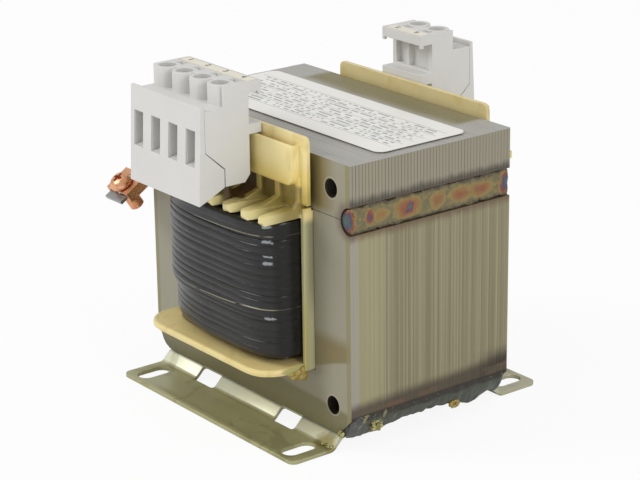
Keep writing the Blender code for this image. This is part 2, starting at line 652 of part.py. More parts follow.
def build_earth_clamp():
    """A lug riveted to the core's upper left hole, with a copper saddle clamped on its tab."""
    zinc = material("plated_steel", (0.33, 0.33, 0.32), 0.35, 0.8)
    copper = material("bare_copper", (0.62, 0.28, 0.15), 0.25, 0.9)
    lean = math.radians(LUG_LEAN)
    tilt = math.radians(LUG_TILT)
    level = Vector((math.cos(lean), 0, -math.sin(lean)))
    upward = Vector((math.sin(lean), 0, math.cos(lean)))
    across = Vector((1, 0, 0))
    back = Vector((0, math.sin(tilt), math.cos(tilt)))
    outward = across.cross(back)
    flat = Vector((0, -1, 0))
    eye = Vector((-hole_x, -face - GAP, core_height - hole_inset))
    bend = eye - upward * LUG_DROP
    half = LUG_WIDTH / 2

    ring = []
    for angle in range(0, 181, 30):
        turn = math.radians(angle)
        ring.append(eye + level * (LUG_EYE * math.cos(turn)) + upward * (LUG_EYE * math.sin(turn)))
    rows = [ring + [bend - across * half, bend + across * half]]
    rows.append([p + flat * LUG_SHEET for p in rows[0]])
    lug_mesh = bmesh.new()
    layers = [[lug_mesh.verts.new(p * MM) for p in row] for row in rows]
    tab_end = bend - back * (LUG_TAB + LUG_TAB_END)
    thick = outward * LUG_SHEET
    tips = [lug_mesh.verts.new(p * MM) for p in (
        tab_end - across * half, tab_end + across * half,
        tab_end - across * half + thick, tab_end + across * half + thick)]
    inner, outer = layers
    count = len(ring)
    lug_mesh.faces.new(inner)
    lug_mesh.faces.new(outer)
    for i in list(range(count)) + [count + 1]:
        j = (i + 1) % (count + 2)
        lug_mesh.faces.new((inner[i], inner[j], outer[j], outer[i]))
    lug_mesh.faces.new((inner[count], inner[count + 1], tips[1], tips[0]))
    lug_mesh.faces.new((outer[count], outer[count + 1], tips[3], tips[2]))
    lug_mesh.faces.new((tips[0], tips[1], tips[3], tips[2]))
    lug_mesh.faces.new((inner[count], outer[count], tips[2], tips[0]))
    lug_mesh.faces.new((inner[count + 1], outer[count + 1], tips[3], tips[1]))
    bmesh.ops.recalc_face_normals(lug_mesh, faces=lug_mesh.faces)
    lug = add_object("earth_lug", lug_mesh, zinc)
    centre = bend - back * LUG_TAB
    clear = CLAMP_SCREW / 2 + GAP
    combine(lug, rod_mesh(centre - outward * 2, centre + outward * 3, clear), "DIFFERENCE")
    combine(lug, rod_mesh(eye - flat, eye + flat * 3, CORE_HOLE / 2), "DIFFERENCE")

    seat = centre + outward * (LUG_SHEET + GAP)
    plate = SADDLE_SHEET
    half = LUG_WIDTH / 2 + GAP + plate
    profile = [(-half, -SADDLE_LIP), (-half, plate), (half, plate), (half, -SADDLE_LIP),
               (half - plate, -SADDLE_LIP), (half - plate, 0.0), (plate - half, 0.0),
               (plate - half, -SADDLE_LIP)]
    saddle_mesh = prism_mesh(profile, "Y", SADDLE_BEHIND - SADDLE_LENGTH / 2,
                             SADDLE_BEHIND + SADDLE_LENGTH / 2)
    frame = Matrix((across, back, outward)).transposed().to_4x4()
    place = Matrix.Translation(seat * MM) @ frame
    bmesh.ops.transform(saddle_mesh, matrix=place, verts=saddle_mesh.verts)
    bmesh.ops.recalc_face_normals(saddle_mesh, faces=saddle_mesh.faces)
    saddle = add_object("earth_saddle", saddle_mesh, copper)
    combine(saddle, rod_mesh(seat - outward, seat + outward * 3, clear), "DIFFERENCE")

    head = seat + outward * (plate + GAP)
    screw = add_object("earth_screw", rod_mesh(
        head, head + outward * CLAMP_HEAD_HEIGHT, CLAMP_HEAD / 2, 32), copper)
    shank = rod_mesh(centre - outward * CLAMP_SCREW_REACH, head + outward, CLAMP_SCREW / 2)
    combine(screw, shank, "UNION")
    rivet_seat = eye + flat * (LUG_SHEET + GAP)
    rivet = add_object("lug_rivet", rod_mesh(
        rivet_seat, rivet_seat + flat * RIVET_HEAD_HEIGHT, RIVET_HEAD / 2), zinc)
    stem = rod_mesh(rivet_seat - flat * RIVET_LENGTH, rivet_seat + flat * 0.5, CORE_HOLE / 2 - GAP)
    combine(rivet, stem, "UNION")


def build_label():
    """The blank rating label on the core's top."""
    paper = material("label_film", (0.85, 0.84, 0.78), 0.45)
    outline = rounded_outline(half_core - LABEL_INSET, LABEL_WIDTH / 2, LABEL_CORNER, shift_x=LABEL_SHIFT)
    low = core_height + GAP
    add_object("rating_label", prism_mesh(outline, "Z", low, low + LABEL_THICK), paper)


def centre_on_outline():
    """Move the root so that the origin lies under the middle of the outline, at the feet's soles."""
    bpy.context.view_layer.update()
    graph = bpy.context.evaluated_depsgraph_get()
    corners = []
    for piece in bpy.data.objects:
        if piece.type == "MESH" and not piece.hide_render:
            shape = piece.evaluated_get(graph)
            corners += [shape.matrix_world @ vertex.co for vertex in shape.data.vertices]
    xs = [p.x for p in corners]
    ys = [p.y for p in corners]
    root.location = (-(min(xs) + max(xs)) / 2, -(min(ys) + max(ys)) / 2, FOOT_DROP * MM)
    bpy.context.view_layer.update()


for old in list(bpy.data.objects):
    bpy.data.objects.remove(old, do_unlink=True)
root = bpy.data.objects.new("transformer", None)
bpy.context.collection.objects.link(root)
build_core()
build_welds()
build_feet()
build_former()
build_windings()
build_block("front_block", 4, -1)
build_block("rear_block", 2, 1)
build_earth_clamp()
build_label()
centre_on_outline()
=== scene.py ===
"""An open-frame mains transformer: a welded core of thin sheets, a moulded coil former with its
windings, two screw terminal blocks, an earth clamp and two bent feet."""
import math

import bmesh
import bpy
from mathutils import Matrix, Vector, noise


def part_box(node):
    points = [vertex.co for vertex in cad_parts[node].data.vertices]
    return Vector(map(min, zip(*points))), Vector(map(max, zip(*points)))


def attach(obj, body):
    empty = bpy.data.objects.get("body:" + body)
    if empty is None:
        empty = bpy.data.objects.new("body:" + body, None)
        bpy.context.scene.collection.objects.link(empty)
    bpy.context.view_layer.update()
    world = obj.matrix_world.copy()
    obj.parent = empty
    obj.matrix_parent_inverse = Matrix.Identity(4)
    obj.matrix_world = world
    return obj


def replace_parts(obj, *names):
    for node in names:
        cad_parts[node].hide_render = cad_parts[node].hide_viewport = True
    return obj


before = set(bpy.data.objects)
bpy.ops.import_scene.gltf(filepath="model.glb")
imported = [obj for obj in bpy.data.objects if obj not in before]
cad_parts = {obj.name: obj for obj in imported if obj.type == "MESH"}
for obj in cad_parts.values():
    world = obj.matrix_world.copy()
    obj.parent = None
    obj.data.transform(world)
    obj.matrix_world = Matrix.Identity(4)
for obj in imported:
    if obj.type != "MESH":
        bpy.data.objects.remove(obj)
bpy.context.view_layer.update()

MM = 0.001
link = bpy.context.collection.objects.link

# The core's main sizes in millimetres, as its solids have them.
HALF_CORE = 42.0
CORE_HEIGHT = 70.0
HALF_STACK = 25.6
SEAM_HEIGHT = 56.0
HOLE_X = 35.0
HOLE_LOW = 7.0
HOLE_HIGH = 63.0

# The camera: a long lens a little above the core's top corner, so that the face with the coil is
# seen at the left and the edges of the sheets at the right. The core's own zero is the middle of
# its underside, and every place below is in millimetres from there.
core_low, core_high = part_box("core_e_stack")
core_zero = Vector(((core_low.x + core_high.x) / 2, (core_low.y + core_high.y) / 2, core_low.z))
azimuth, elevation, roll = (math.radians(a) for a in (52.43, 18.95, -0.78))
level = Vector((math.cos(azimuth), math.sin(azimuth), 0))
backwards = Vector((math.sin(azimuth) * math.cos(elevation), -math.cos(azimuth) * math.cos(elevation),
                    math.sin(elevation)))
upwards = backwards.cross(level)
lens = bpy.data.cameras.new("camera")
lens.lens = 124.65
lens.sensor_width = 36
camera = bpy.data.objects.new("camera", lens)
camera.matrix_world = Matrix((
    level * math.cos(roll) + upwards * math.sin(roll),
    upwards * math.cos(roll) - level * math.sin(roll),
    backwards)).transposed().to_4x4()
camera.location = core_zero + Vector((431.8, -334.3, 222.6)) * MM
link(camera)
bpy.context.scene.camera = camera


class Socket:
    """One output in a material; sums written with it add Math nodes."""

    def __init__(self, paint, plug):
        self.paint = paint
        self.plug = plug

    def __add__(self, other):
        return self.paint.sum("ADD", self, other)

    def __sub__(self, other):
        return self.paint.sum("SUBTRACT", self, other)

    def __rsub__(self, other):
        return self.paint.sum("SUBTRACT", other, self)

    def __mul__(self, other):
        return self.paint.sum("MULTIPLY", self, other)

    def __truediv__(self, other):
        return self.paint.sum("DIVIDE", self, other)

    def __pow__(self, other):
        return self.paint.sum("POWER", self, other)

    def __gt__(self, other):
        return self.paint.sum("GREATER_THAN", self, other)

    def __abs__(self):
        return self.paint.sum("ABSOLUTE", self)

    __radd__ = __add__
    __rmul__ = __mul__


class Paint:
    """A material and its nodes. where is the place on the piece, in millimetres from the core's zero,
    skin is its colour so far, and a colour is given by its code, such as 0x8b8570."""

    def __init__(self, name, **finish):
        self.material = bpy.data.materials.new(name)
        self.material.use_nodes = True
        self.tree = self.material.node_tree
        self.surface = self.tree.nodes["Principled BSDF"]
        for socket, value in finish.items():
            self.feed(self.surface, socket.replace("_", " ").title(), value)
        place = self.node("ShaderNodeTexCoord", out="Object")
        self.where = self.node("ShaderNodeMapping", {}, {
            "Vector": place, "Location": -core_zero / MM, "Scale": (1 / MM,) * 3})
        apart = self.node("ShaderNodeSeparateXYZ", {}, {"Vector": self.where}, "X")
        self.x = apart
        self.y = Socket(self, apart.plug.node.outputs["Y"])
        self.z = Socket(self, apart.plug.node.outputs["Z"])

    def feed(self, node, name, value):
        socket = next(s for s in node.inputs if name in (s.identifier, s.name))
        if isinstance(value, Socket):
            self.tree.links.new(value.plug, socket)
        elif socket.type == "RGBA":
            socket.default_value = (*colour(value), 1)
        else:
            socket.default_value = value

    def node(self, kind, settings=(), sockets=(), out=0):
        made = self.tree.nodes.new(kind)
        for name, value in dict(settings).items():
            if name == "stops":
                ramp = made.color_ramp
                while len(ramp.elements) < len(value):
                    ramp.elements.new(0.5)
                for stop, (place, code) in zip(ramp.elements, value):
                    stop.position = place
                    stop.color = (*colour(code), 1)
            else:
                setattr(made, name, value)
        for name, value in dict(sockets).items():
            self.feed(made, name, value)
        return Socket(self, made.outputs[out])

    def sum(self, operation, a, b=0.0):
        made = self.node("ShaderNodeMath", {"operation": operation})
        for socket, value in zip(made.plug.node.inputs, (a, b)):
            if isinstance(value, Socket):
                self.tree.links.new(value.plug, socket)
            else:
                socket.default_value = value
        return made

    def fade(self, value, low, high):
        """0 below low, 1 above high and smooth between; low may be the larger."""
        return self.node("ShaderNodeMapRange", {"interpolation_type": "SMOOTHSTEP"}, {
            "Value": value, "From Min": low, "From Max": high}, "Result")

    def mix(self, share, a, b):
        """a where share is 0 and b where it is 1."""
        return self.node("ShaderNodeMix", {"data_type": "RGBA"}, {
            "Factor_Float": share, "A_Color": a, "B_Color": b}, 2)

    def cloud(self, scale, detail=2.0, stretch=(1, 1, 1), warp=0.0):
        """Noise from 0 to 1, with scale in patches per millimetre."""
        spot = self.node("ShaderNodeMapping", {}, {"Vector": self.where, "Scale": stretch})
        return self.node("ShaderNodeTexNoise", {}, {
            "Vector": spot, "Scale": scale, "Detail": detail, "Distortion": warp}, 0)

    def bump(self, height, distance, strength=1.0, under=None):
        """A bump whose distance is in millimetres."""
        sockets = {"Height": height, "Distance": distance * MM, "Strength": strength}
        if under is not None:
            sockets["Normal"] = under
        return self.node("ShaderNodeBump", {}, sockets)

    def far(self, a, b):
        """The distance from a place, of which a and b are the two offsets."""
        return self.sum("SQRT", a ** 2.0 + b ** 2.0)

    def tint(self, share, shade):
        """Lay a shade over the skin, as strongly as share says."""
        self.skin = self.mix(share, self.skin, shade)

    def set(self, **sockets):
        """Give the surface its skin, and whatever else is named."""
        self.feed(self.surface, "Base Color", self.skin)
        for socket, value in sockets.items():
            self.feed(self.surface, socket.replace("_", " ").title(), value)


def colour(code):
    """The light that a written colour such as 0x8b8570 stands for."""
    parts = [(code >> shift & 255) / 255 for shift in (16, 8, 0)]
    return tuple(p / 12.92 if p <= 0.04045 else ((p + 0.055) / 1.055) ** 2.4 for p in parts)


def mottled(name, patches, dark, light, grain, height, strength, **finish):
    """A material of two shades in soft patches, with a fine bump; patches and grain are clouds."""
    paint = Paint(name, **finish)
    paint.skin = paint.mix(paint.cloud(*patches), dark, light)
    paint.set(normal=paint.bump(paint.cloud(*grain), height, strength))
    return paint


# The floor and the light: a white sheet under the object, a white surround that the camera sees at
# full strength and the object at two thirds, and two soft lamps, the stronger one at the front left.
floor_mesh = bpy.data.meshes.new("floor")
floor_mesh.from_pydata([(x, y, 0) for x, y in ((-3, -3), (3, -3), (3, 3), (-3, 3))], [], [(0, 1, 2, 3)])
floor = bpy.data.objects.new("floor", floor_mesh)
link(floor)
sheet = bpy.data.materials.new("floor_sheet")
sheet.use_nodes = True
nodes = sheet.node_tree.nodes
links = sheet.node_tree.links
nodes["Principled BSDF"].inputs["Base Color"].default_value = (0.92, 0.92, 0.92, 1)
nodes["Principled BSDF"].inputs["Roughness"].default_value = 1.0
nodes["Principled BSDF"].inputs["Specular IOR Level"].default_value = 0.0
glow = nodes.new("ShaderNodeEmission")
glow.inputs["Color"].default_value = (1, 1, 1, 1)
seen = nodes.new("ShaderNodeLightPath")
lift = nodes.new("ShaderNodeMath")
lift.operation = "MULTIPLY"
lift.inputs[1].default_value = 0.9
blend = nodes.new("ShaderNodeMixShader")
links.new(seen.outputs["Is Camera Ray"], lift.inputs[0])
links.new(lift.outputs[0], blend.inputs["Fac"])
links.new(nodes["Principled BSDF"].outputs[0], blend.inputs[1])
links.new(glow.outputs[0], blend.inputs[2])
links.new(blend.outputs[0], nodes["Material Output"].inputs["Surface"])
floor_mesh.materials.append(sheet)

world = bpy.data.worlds.new("studio")
world.use_nodes = True
bpy.context.scene.world = world
nodes = world.node_tree.nodes
links = world.node_tree.links
seen = nodes.new("ShaderNodeLightPath")
either = nodes.new("ShaderNodeMath")
either.operation = "MAXIMUM"
strength = nodes.new("ShaderNodeMapRange")
strength.inputs["To Min"].default_value = 0.64
strength.inputs["To Max"].default_value = 1.0
links.new(seen.outputs["Is Camera Ray"], either.inputs[0])
links.new(seen.outputs["Is Transmission Ray"], either.inputs[1])
links.new(either.outputs[0], strength.inputs["Value"])
links.new(strength.outputs[0], nodes["Background"].inputs["Strength"])
nodes["Background"].inputs["Color"].default_value = (1, 1, 1, 1)

for name, place, size, power in (("lamp_left", (-0.55, -0.75, 0.75), 0.5, 4.6),
                                 ("lamp_right", (0.85, -0.05, 0.45), 0.35, 2.0)):
    lamp = bpy.data.lights.new(name, "AREA")
    lamp.shape = "DISK"
    lamp.size = size
    lamp.energy = power
    stand = bpy.data.objects.new(name, lamp)
    stand.location = place
    stand.rotation_mode = "QUATERNION"
    stand.rotation_quaternion = (Vector(place) - Vector((0, 0, 0.04))).to_track_quat("Z", "Y")
    link(stand)
bpy.context.scene.view_settings.view_transform = "Standard"


def solid(name, mesh, finish, smooth=35.0):
    """A piece from a mesh drawn in millimetres from the core's zero, riding on the part's one body."""
    bmesh.ops.scale(mesh, vec=(MM, MM, MM), verts=mesh.verts)
    bmesh.ops.translate(mesh, vec=core_zero, verts=mesh.verts)
    data = bpy.data.meshes.new(name)
    mesh.to_mesh(data)
    mesh.free()
    if smooth:
        data.shade_smooth()
        data.set_sharp_from_angle(angle=math.radians(smooth))
    data.materials.append(finish.material)
    piece = bpy.data.objects.new(name, data)
    link(piece)
    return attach(piece, "root")


def wobble(x, y, z):
    """Smooth fixed noise between about -1 and 1."""
    return noise.noise(Vector((x, y, z)))


def around(count, radius):
    """Points round a circle, as pairs."""
    turns = [math.tau * k / count for k in range(count)]
    return [(radius * math.cos(turn), radius * math.sin(turn)) for turn in turns]


def loft(rings):
    """A closed skin over rings of points, with a cap at each end."""
    mesh = bmesh.new()
    rings = [[mesh.verts.new(point) for point in ring] for ring in rings]
    mesh.faces.new(rings[0])
    mesh.faces.new(rings[-1])
    for a, b in zip(rings, rings[1:]):
        for k in range(len(a)):
            n = (k + 1) % len(a)
            mesh.faces.new((a[k], a[n], b[n], b[k]))
    bmesh.ops.recalc_face_normals(mesh, faces=mesh.faces)
    return mesh


def baked(thing):
    """The mesh that an object's modifiers make of it."""
    return bpy.data.meshes.new_from_object(thing.evaluated_get(bpy.context.evaluated_depsgraph_get()))


def rounded(piece, edge, segments, angle):
    """Round the edges of a piece that turn by more than angle degrees."""
    bevel = piece.modifiers.new("edges", "BEVEL")
    bevel.width = edge * MM
    bevel.segments = segments
    bevel.limit_method = "ANGLE"
    bevel.angle_limit = math.radians(angle)
    bevel.use_clamp_overlap = False
    return bevel


def softened(name, node, finish, edge, segments=2, smooth=35.0):
    """A finished copy of a CAD node: its triangles merged, laid out afresh and its edges rounded."""
    mesh = bmesh.new()
    mesh.from_mesh(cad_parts[node].data)
    bmesh.ops.remove_doubles(mesh, verts=mesh.verts, dist=1e-6)
    bmesh.ops.dissolve_limit(mesh, angle_limit=math.radians(0.5), verts=mesh.verts, edges=mesh.edges)
    bmesh.ops.triangulate(mesh, faces=[f for f in mesh.faces if len(f.verts) > 4])
    bmesh.ops.translate(mesh, vec=-core_zero, verts=mesh.verts)
    bmesh.ops.scale(mesh, vec=(1 / MM,) * 3, verts=mesh.verts)
    piece = solid(name, mesh, finish, smooth)
    rounded(piece, edge, segments, 40).harden_normals = True
    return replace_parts(piece, node)


# The core: E and I sheets of electrical steel half a millimetre thick, punched, stacked and
# varnished as one. The I sheets show their edges as coarser ridges than the E sheets below.
def sheet_outline(points, holes, thick):
    """One punched sheet as a closed prism: its outline and holes, along Y from zero."""
    mesh = bmesh.new()
    loops = [points] + [[(x + across, z + up) for across, up in around(20, 2.4)] for x, z in holes]
    edges = []
    for loop in loops:
        rim = [mesh.verts.new((x, 0, z)) for x, z in loop]
        edges += [mesh.edges.new((a, b)) for a, b in zip(rim, rim[1:] + rim[:1])]
    bmesh.ops.triangle_fill(mesh, use_beauty=True, edges=edges)
    face = list(mesh.faces)
    grown = bmesh.ops.extrude_face_region(mesh, geom=face, use_keep_orig=True)
    moved = [v for v in grown["geom"] if isinstance(v, bmesh.types.BMVert)]
    bmesh.ops.translate(mesh, vec=(0, thick, 0), verts=moved)
    bmesh.ops.recalc_face_normals(mesh, faces=mesh.faces)
    return mesh


def stack_tree(finish):
    """Nodes that repeat a sheet through the stack, each shifted a hair along X and Z."""
    tree = bpy.data.node_groups.new("sheet_stack", "GeometryNodeTree")
    for name, way, kind in (("Geometry", "INPUT", "Geometry"), ("Sheets", "INPUT", "Int"),
                            ("Pitch", "INPUT", "Float"), ("Slip", "INPUT", "Float"),
                            ("Seed", "INPUT", "Int"), ("Geometry", "OUTPUT", "Geometry")):
        tree.interface.new_socket(name, in_out=way, socket_type=f"NodeSocket{kind}")
    given, result, line, step, spread, reach, negate, shift, copies, real, coat = (
        tree.nodes.new(kind) for kind in (
            "NodeGroupInput", "NodeGroupOutput", "GeometryNodeMeshLine", "ShaderNodeCombineXYZ",
            "FunctionNodeRandomValue", "ShaderNodeCombineXYZ", "ShaderNodeVectorMath",
            "GeometryNodeSetPosition", "GeometryNodeInstanceOnPoints", "GeometryNodeRealizeInstances",
            "GeometryNodeSetMaterial"))
    spread.data_type = "FLOAT_VECTOR"
    negate.operation = "SCALE"
    negate.inputs["Scale"].default_value = -1.0
    coat.inputs["Material"].default_value = finish.material
    for start, output, end, entry in (
            (given, "Pitch", step, "Y"), (given, "Sheets", line, "Count"), (step, 0, line, "Offset"),
            (given, "Slip", reach, "X"), (given, "Slip", reach, "Z"), (reach, 0, negate, 0),
            (negate, 0, spread, "Min"), (reach, 0, spread, "Max"), (given, "Seed", spread, "Seed"),
            (line, 0, shift, "Geometry"), (spread, 0, shift, "Offset"), (shift, 0, copies, "Points"),
            (given, "Geometry", copies, "Instance"), (copies, 0, real, 0), (real, 0, coat, "Geometry"),
            (coat, 0, result, 0)):
        tree.links.new(start.outputs[output], end.inputs[entry])
    return tree


def grown_by(tree, name, mesh, **sizes):
    """Run a node tree on a mesh in metres at the origin and keep what it makes as a plain piece."""
    data = bpy.data.meshes.new(name)
    mesh.to_mesh(data)
    mesh.free()
    start = bpy.data.objects.new(name + "_start", data)
    link(start)
    grow = start.modifiers.new("grow", "NODES")
    grow.node_group = tree
    for item in tree.interface.items_tree:
        if item.in_out == "INPUT" and item.name in sizes:
            grow[item.identifier] = sizes[item.name]
    made = baked(start)
    bpy.data.objects.remove(start, do_unlink=True)
    made.name = name
    piece = bpy.data.objects.new(name, made)
    link(piece)
    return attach(piece, "root")


steel = Paint("core_steel", metallic=0.2, roughness=0.42)
edge_face = steel.fade(abs(steel.y), 25.55, 25.45)
wander = steel.cloud(0.06, 3.0) * 8.0 - 4.0
flat = steel.mix(steel.cloud(0.05, 3.0), 0x9a9683, 0xa09b89)
right_half = steel.fade(steel.x, -6.0, 6.0)
drawn = steel.z + wander * 0.2
tide = steel.fade(drawn - steel.x * 0.34, 5.6, 6.5) * steel.fade(drawn, 26.6, 22.4) * right_half
flat = steel.mix(tide * 0.85, flat, 0x80724a)
# Painted shade: the front face is painted darker beside the coil former's side wall, where the coil shades
# it.
flat = steel.mix(steel.fade(steel.x, 36.0, 27.5) * right_half * 0.4, flat, 0x79735c)
beside_plate = steel.fade(steel.z, 55.9, 58.0) * steel.fade(abs(steel.x) + wander * 0.5, 38.0, 30.0)
flat = steel.mix(beside_plate * 0.85, flat, 0x80703f)
flat = steel.mix(steel.fade(drawn + abs(steel.x) * 0.05, 9.0, 7.6) * 0.8, flat, 0x716d4c)
flat = steel.mix(steel.fade(steel.z, 4.0, 0.0) * 0.6, flat, 0x655f3a)
flat = steel.mix(steel.fade(abs(steel.x), 40.2, 40.7) * 0.75, flat, 0x8d8860)
strand = steel.cloud(1.0, 2.0, (0.3, 5.0, 0.015))
streak = steel.cloud(0.9, 3.0, (1, 1.6, 0.03))
sheet_tone = steel.node("ShaderNodeTexWhiteNoise", {"noise_dimensions": "1D"}, {
    "W": steel.sum("FLOOR", steel.y * 2.0)}, 0)
lines = strand * 0.5 + streak * 0.6 + sheet_tone * 0.65 - 0.37
edges = steel.mix(lines, 0x7d755a, 0xa09a7c)
light_band = steel.fade(steel.y, -15.1, -15.6)
edges = steel.mix(light_band * 0.6, edges, steel.mix(strand, 0x9c9470, 0xb1aa84))
near_corner = steel.fade(steel.y, -22.7, -23.3)
edges = steel.mix(near_corner * 0.85, edges, steel.mix(strand, 0x9b9489, 0xa8a29a))
upper = steel.fade(steel.z, 56.0, 56.1)
ridge = steel.fade(abs(steel.sum("FRACT", steel.y * 0.9961 + 0.5) - 0.5), 0.3, 0.48)
ridge = ridge * (0.62 - steel.y * 0.01)
edges = steel.mix(upper * 0.85, edges, steel.mix(ridge, 0x979180, 0x7a7466))
ragged = steel.cloud(0.5, 3.0, (1, 1, 0.5)) * 1.6 - 0.8
above = steel.fade(steel.z + ragged, 62.4, 60.0) * upper
below = steel.fade(steel.z + ragged, 49.8, 52.6) * (1 - upper)
edges = steel.mix(above * 0.85 + below * 0.8, edges, steel.mix(upper, 0x664f38, 0x463d34))
seared = steel.z - steel.y * 0.025 + wander * 0.12 + ragged * 0.5
edges = steel.mix(steel.fade(seared, 10.6, 7.5) * 0.85, edges, 0x463a30)
far_end = steel.fade(steel.y, 12.0, 24.0) * steel.fade(steel.z + ragged, 13.5, 9.0)
edges = steel.mix(far_end * 0.75, edges, 0x352c25)
rusty = steel.mix(steel.fade(steel.cloud(0.16), 0.45, 0.6), 0x625a46, 0x735543)
rust_patches = steel.fade(steel.cloud(0.1, 3.0), 0.4, 0.55)
edges = steel.mix(steel.fade(seared, 7.4, 6.7) * rust_patches * 0.75, edges, rusty)
edges = steel.mix(steel.fade(steel.z, 5.9, 5.1) * 0.85, edges, 0x2e2620)
beside_bead = steel.far(abs(steel.x) - HALF_CORE, steel.z - 56.1) + ragged
flat = steel.mix(steel.fade(beside_bead, 6.2, 3.4) * 0.7, flat, 0x6f5a4c)
top_face = steel.fade(steel.z, 69.75, 69.95) * edge_face
top = steel.mix(steel.cloud(0.08, 3.0, (0.3, 2, 1)), 0xaba8a1, 0xb9b7b2)
# A painted reflection of the coil former's rear plate: an olive band along the rear of the top face.
painted_reflection = steel.fade(steel.y + wander * 0.4, 13.5, 19.0) * steel.fade(steel.x, 33.0, 30.0)
top = steel.mix(painted_reflection * steel.fade(steel.x, -32.0, -28.5) * 0.9, top, 0x857c52)
steel.skin = steel.mix(edge_face, flat, edges)
steel.tint(top_face, top)
groove = steel.fade(abs(steel.x), 41.9, 41.4) * steel.fade(abs(steel.z - 56.1), 3.9, 3.6)
steel.tint(groove * edge_face, 0x655747)
hole_low = steel.far(abs(steel.x) - HOLE_X, steel.z - HOLE_LOW)
hole_high = steel.far(abs(steel.x) - HOLE_X, steel.z - HOLE_HIGH)
to_hole = steel.sum("MINIMUM", hole_low, hole_high)
steel.tint(steel.fade(abs(to_hole - 2.65), 0.3, 0.1) * (1 - edge_face) * 0.45, 0xb3ae9c)
# Painted shade: the walls of the holes are painted near black, so that the holes look deep and dark.
painted_bore_shade = steel.fade(to_hole, 2.6, 2.45) * edge_face
steel.tint(painted_bore_shade * 0.85, 0x2b271e)
grain = steel.cloud(0.8, 2.0, (0.02, 8, 0.02))
steel.set(roughness=0.36 + streak * 0.18,
          normal=steel.bump(grain, 0.04, 0.4 * edge_face, steel.bump(steel.cloud(0.12), 0.15, 0.25)))


def groove_wall(z0, z1):
    """The weld groove's wall between two heights, on the positive side."""
    points = []
    for k in range(17):
        turn = math.radians(-90 + 180 * k / 16)
        z = SEAM_HEIGHT + 3.6 * math.sin(turn)
        if z0 <= z <= z1:
            points.append((HALF_CORE - 3.4 * math.cos(turn), z))
    return points


below_seam, above_seam = SEAM_HEIGHT - 0.07, SEAM_HEIGHT + 0.07
low_wall = groove_wall(0, below_seam)
high_wall = groove_wall(above_seam, 80)
half = [(37.2, 0.0), (HALF_CORE, 4.8), *low_wall, (low_wall[-1][0], below_seam), (28.0, below_seam),
        (28.0, 14.0), (14.0, 14.0), (14.0, below_seam)]
e_outline = half + [(-x, z) for x, z in reversed(half)]
half = [(high_wall[0][0], above_seam), *high_wall, (41.97, CORE_HEIGHT)]
i_outline = half + [(-x, z) for x, z in reversed(half)]
sheets = stack_tree(steel)
for name, node, outline, hole_z, count, gap in (
        ("e_sheets", "core_e_stack", e_outline, HOLE_LOW, 102, 0.012),
        ("i_sheets", "core_i_stack", i_outline, HOLE_HIGH, 51, 0.06)):
    pitch = 2 * HALF_STACK / count
    mesh = sheet_outline(outline, ((-HOLE_X, hole_z), (HOLE_X, hole_z)), pitch - gap)
    bmesh.ops.translate(mesh, vec=(0, gap / 2 - HALF_STACK, 0), verts=mesh.verts)
    bmesh.ops.scale(mesh, vec=(MM, MM, MM), verts=mesh.verts)
    bmesh.ops.translate(mesh, vec=core_zero, verts=mesh.verts)
    piece = grown_by(sheets, name, mesh, Sheets=count, Pitch=pitch * MM, Slip=0.02 * MM, Seed=7)
    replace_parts(piece, node)

# The seam welds: one bead of steel laid in the groove where the E and I sheets meet, on each side.
# It lies nearly flush, with the straw, red and blue tints that its heat leaves, and painted shade along
# its rims.
bead = Paint("seam_bead", metallic=0.4, roughness=0.32)
drift = bead.cloud(0.4, 2.0) * 3.6 - 1.8
flutter = bead.cloud(1.7, 3.0) * 1.5 - 0.75
along_bead = bead.y + drift + flutter
over_bead = bead.z + drift * 0.35 + flutter * 0.7
heat = bead.cloud(0.55, 4.0, (1, 1, 1.5)) * 0.6 - 0.14
for spot_y, reach_y, reach_z, hot in (
        (-25.6, 2.5, 3.6, 1.0), (-19.4, 1.5, 2.6, 0.8), (-16.0, 3.0, 2.4, 0.42), (-7.6, 5.2, 3.4, 0.58),
        (-6.9, 1.7, 2.2, 0.98), (2.0, 3.2, 2.8, 0.5), (9.6, 5.0, 2.6, 0.54), (16.0, 5.2, 2.4, 0.56),
        (24.2, 2.4, 3.4, 0.98)):
    far = ((along_bead - spot_y) / reach_y) ** 2.0 + ((over_bead - 56.1) / reach_z) ** 2.0
    heat = bead.sum("MAXIMUM", heat, (1 - far * 0.85) * hot)
bead.skin = bead.node("ShaderNodeValToRGB", {"stops": [
    (0.0, 0x645f4d), (0.14, 0x736b4c), (0.27, 0x96844c), (0.4, 0x98743f),
    (0.52, 0x935a38), (0.63, 0x87423a), (0.73, 0x743c52), (0.84, 0x434c68),
    (1.0, 0x486464)]}, {"Fac": heat})
ripple = bead.cloud(1.2, 3.0, (0.4, 3.0, 0.5))
bead.tint(bead.fade(ripple, 0.4, 0.65) * 0.45, 0x746f5c)
# Painted shade along the bead's rims, where it meets the groove's wall.
rim = bead.fade(abs(bead.z - 56.1 + bead.cloud(0.6, 3.0) * 2.4 - 1.2), 2.2, 3.3)
bead.tint(rim * 0.85, 0x4d4339)
bead.set(roughness=0.26 + bead.cloud(1.2) * 0.22,
         normal=bead.bump(ripple, 0.12, 0.6, bead.bump(bead.cloud(0.9, 3.0), 0.15, 0.5)))


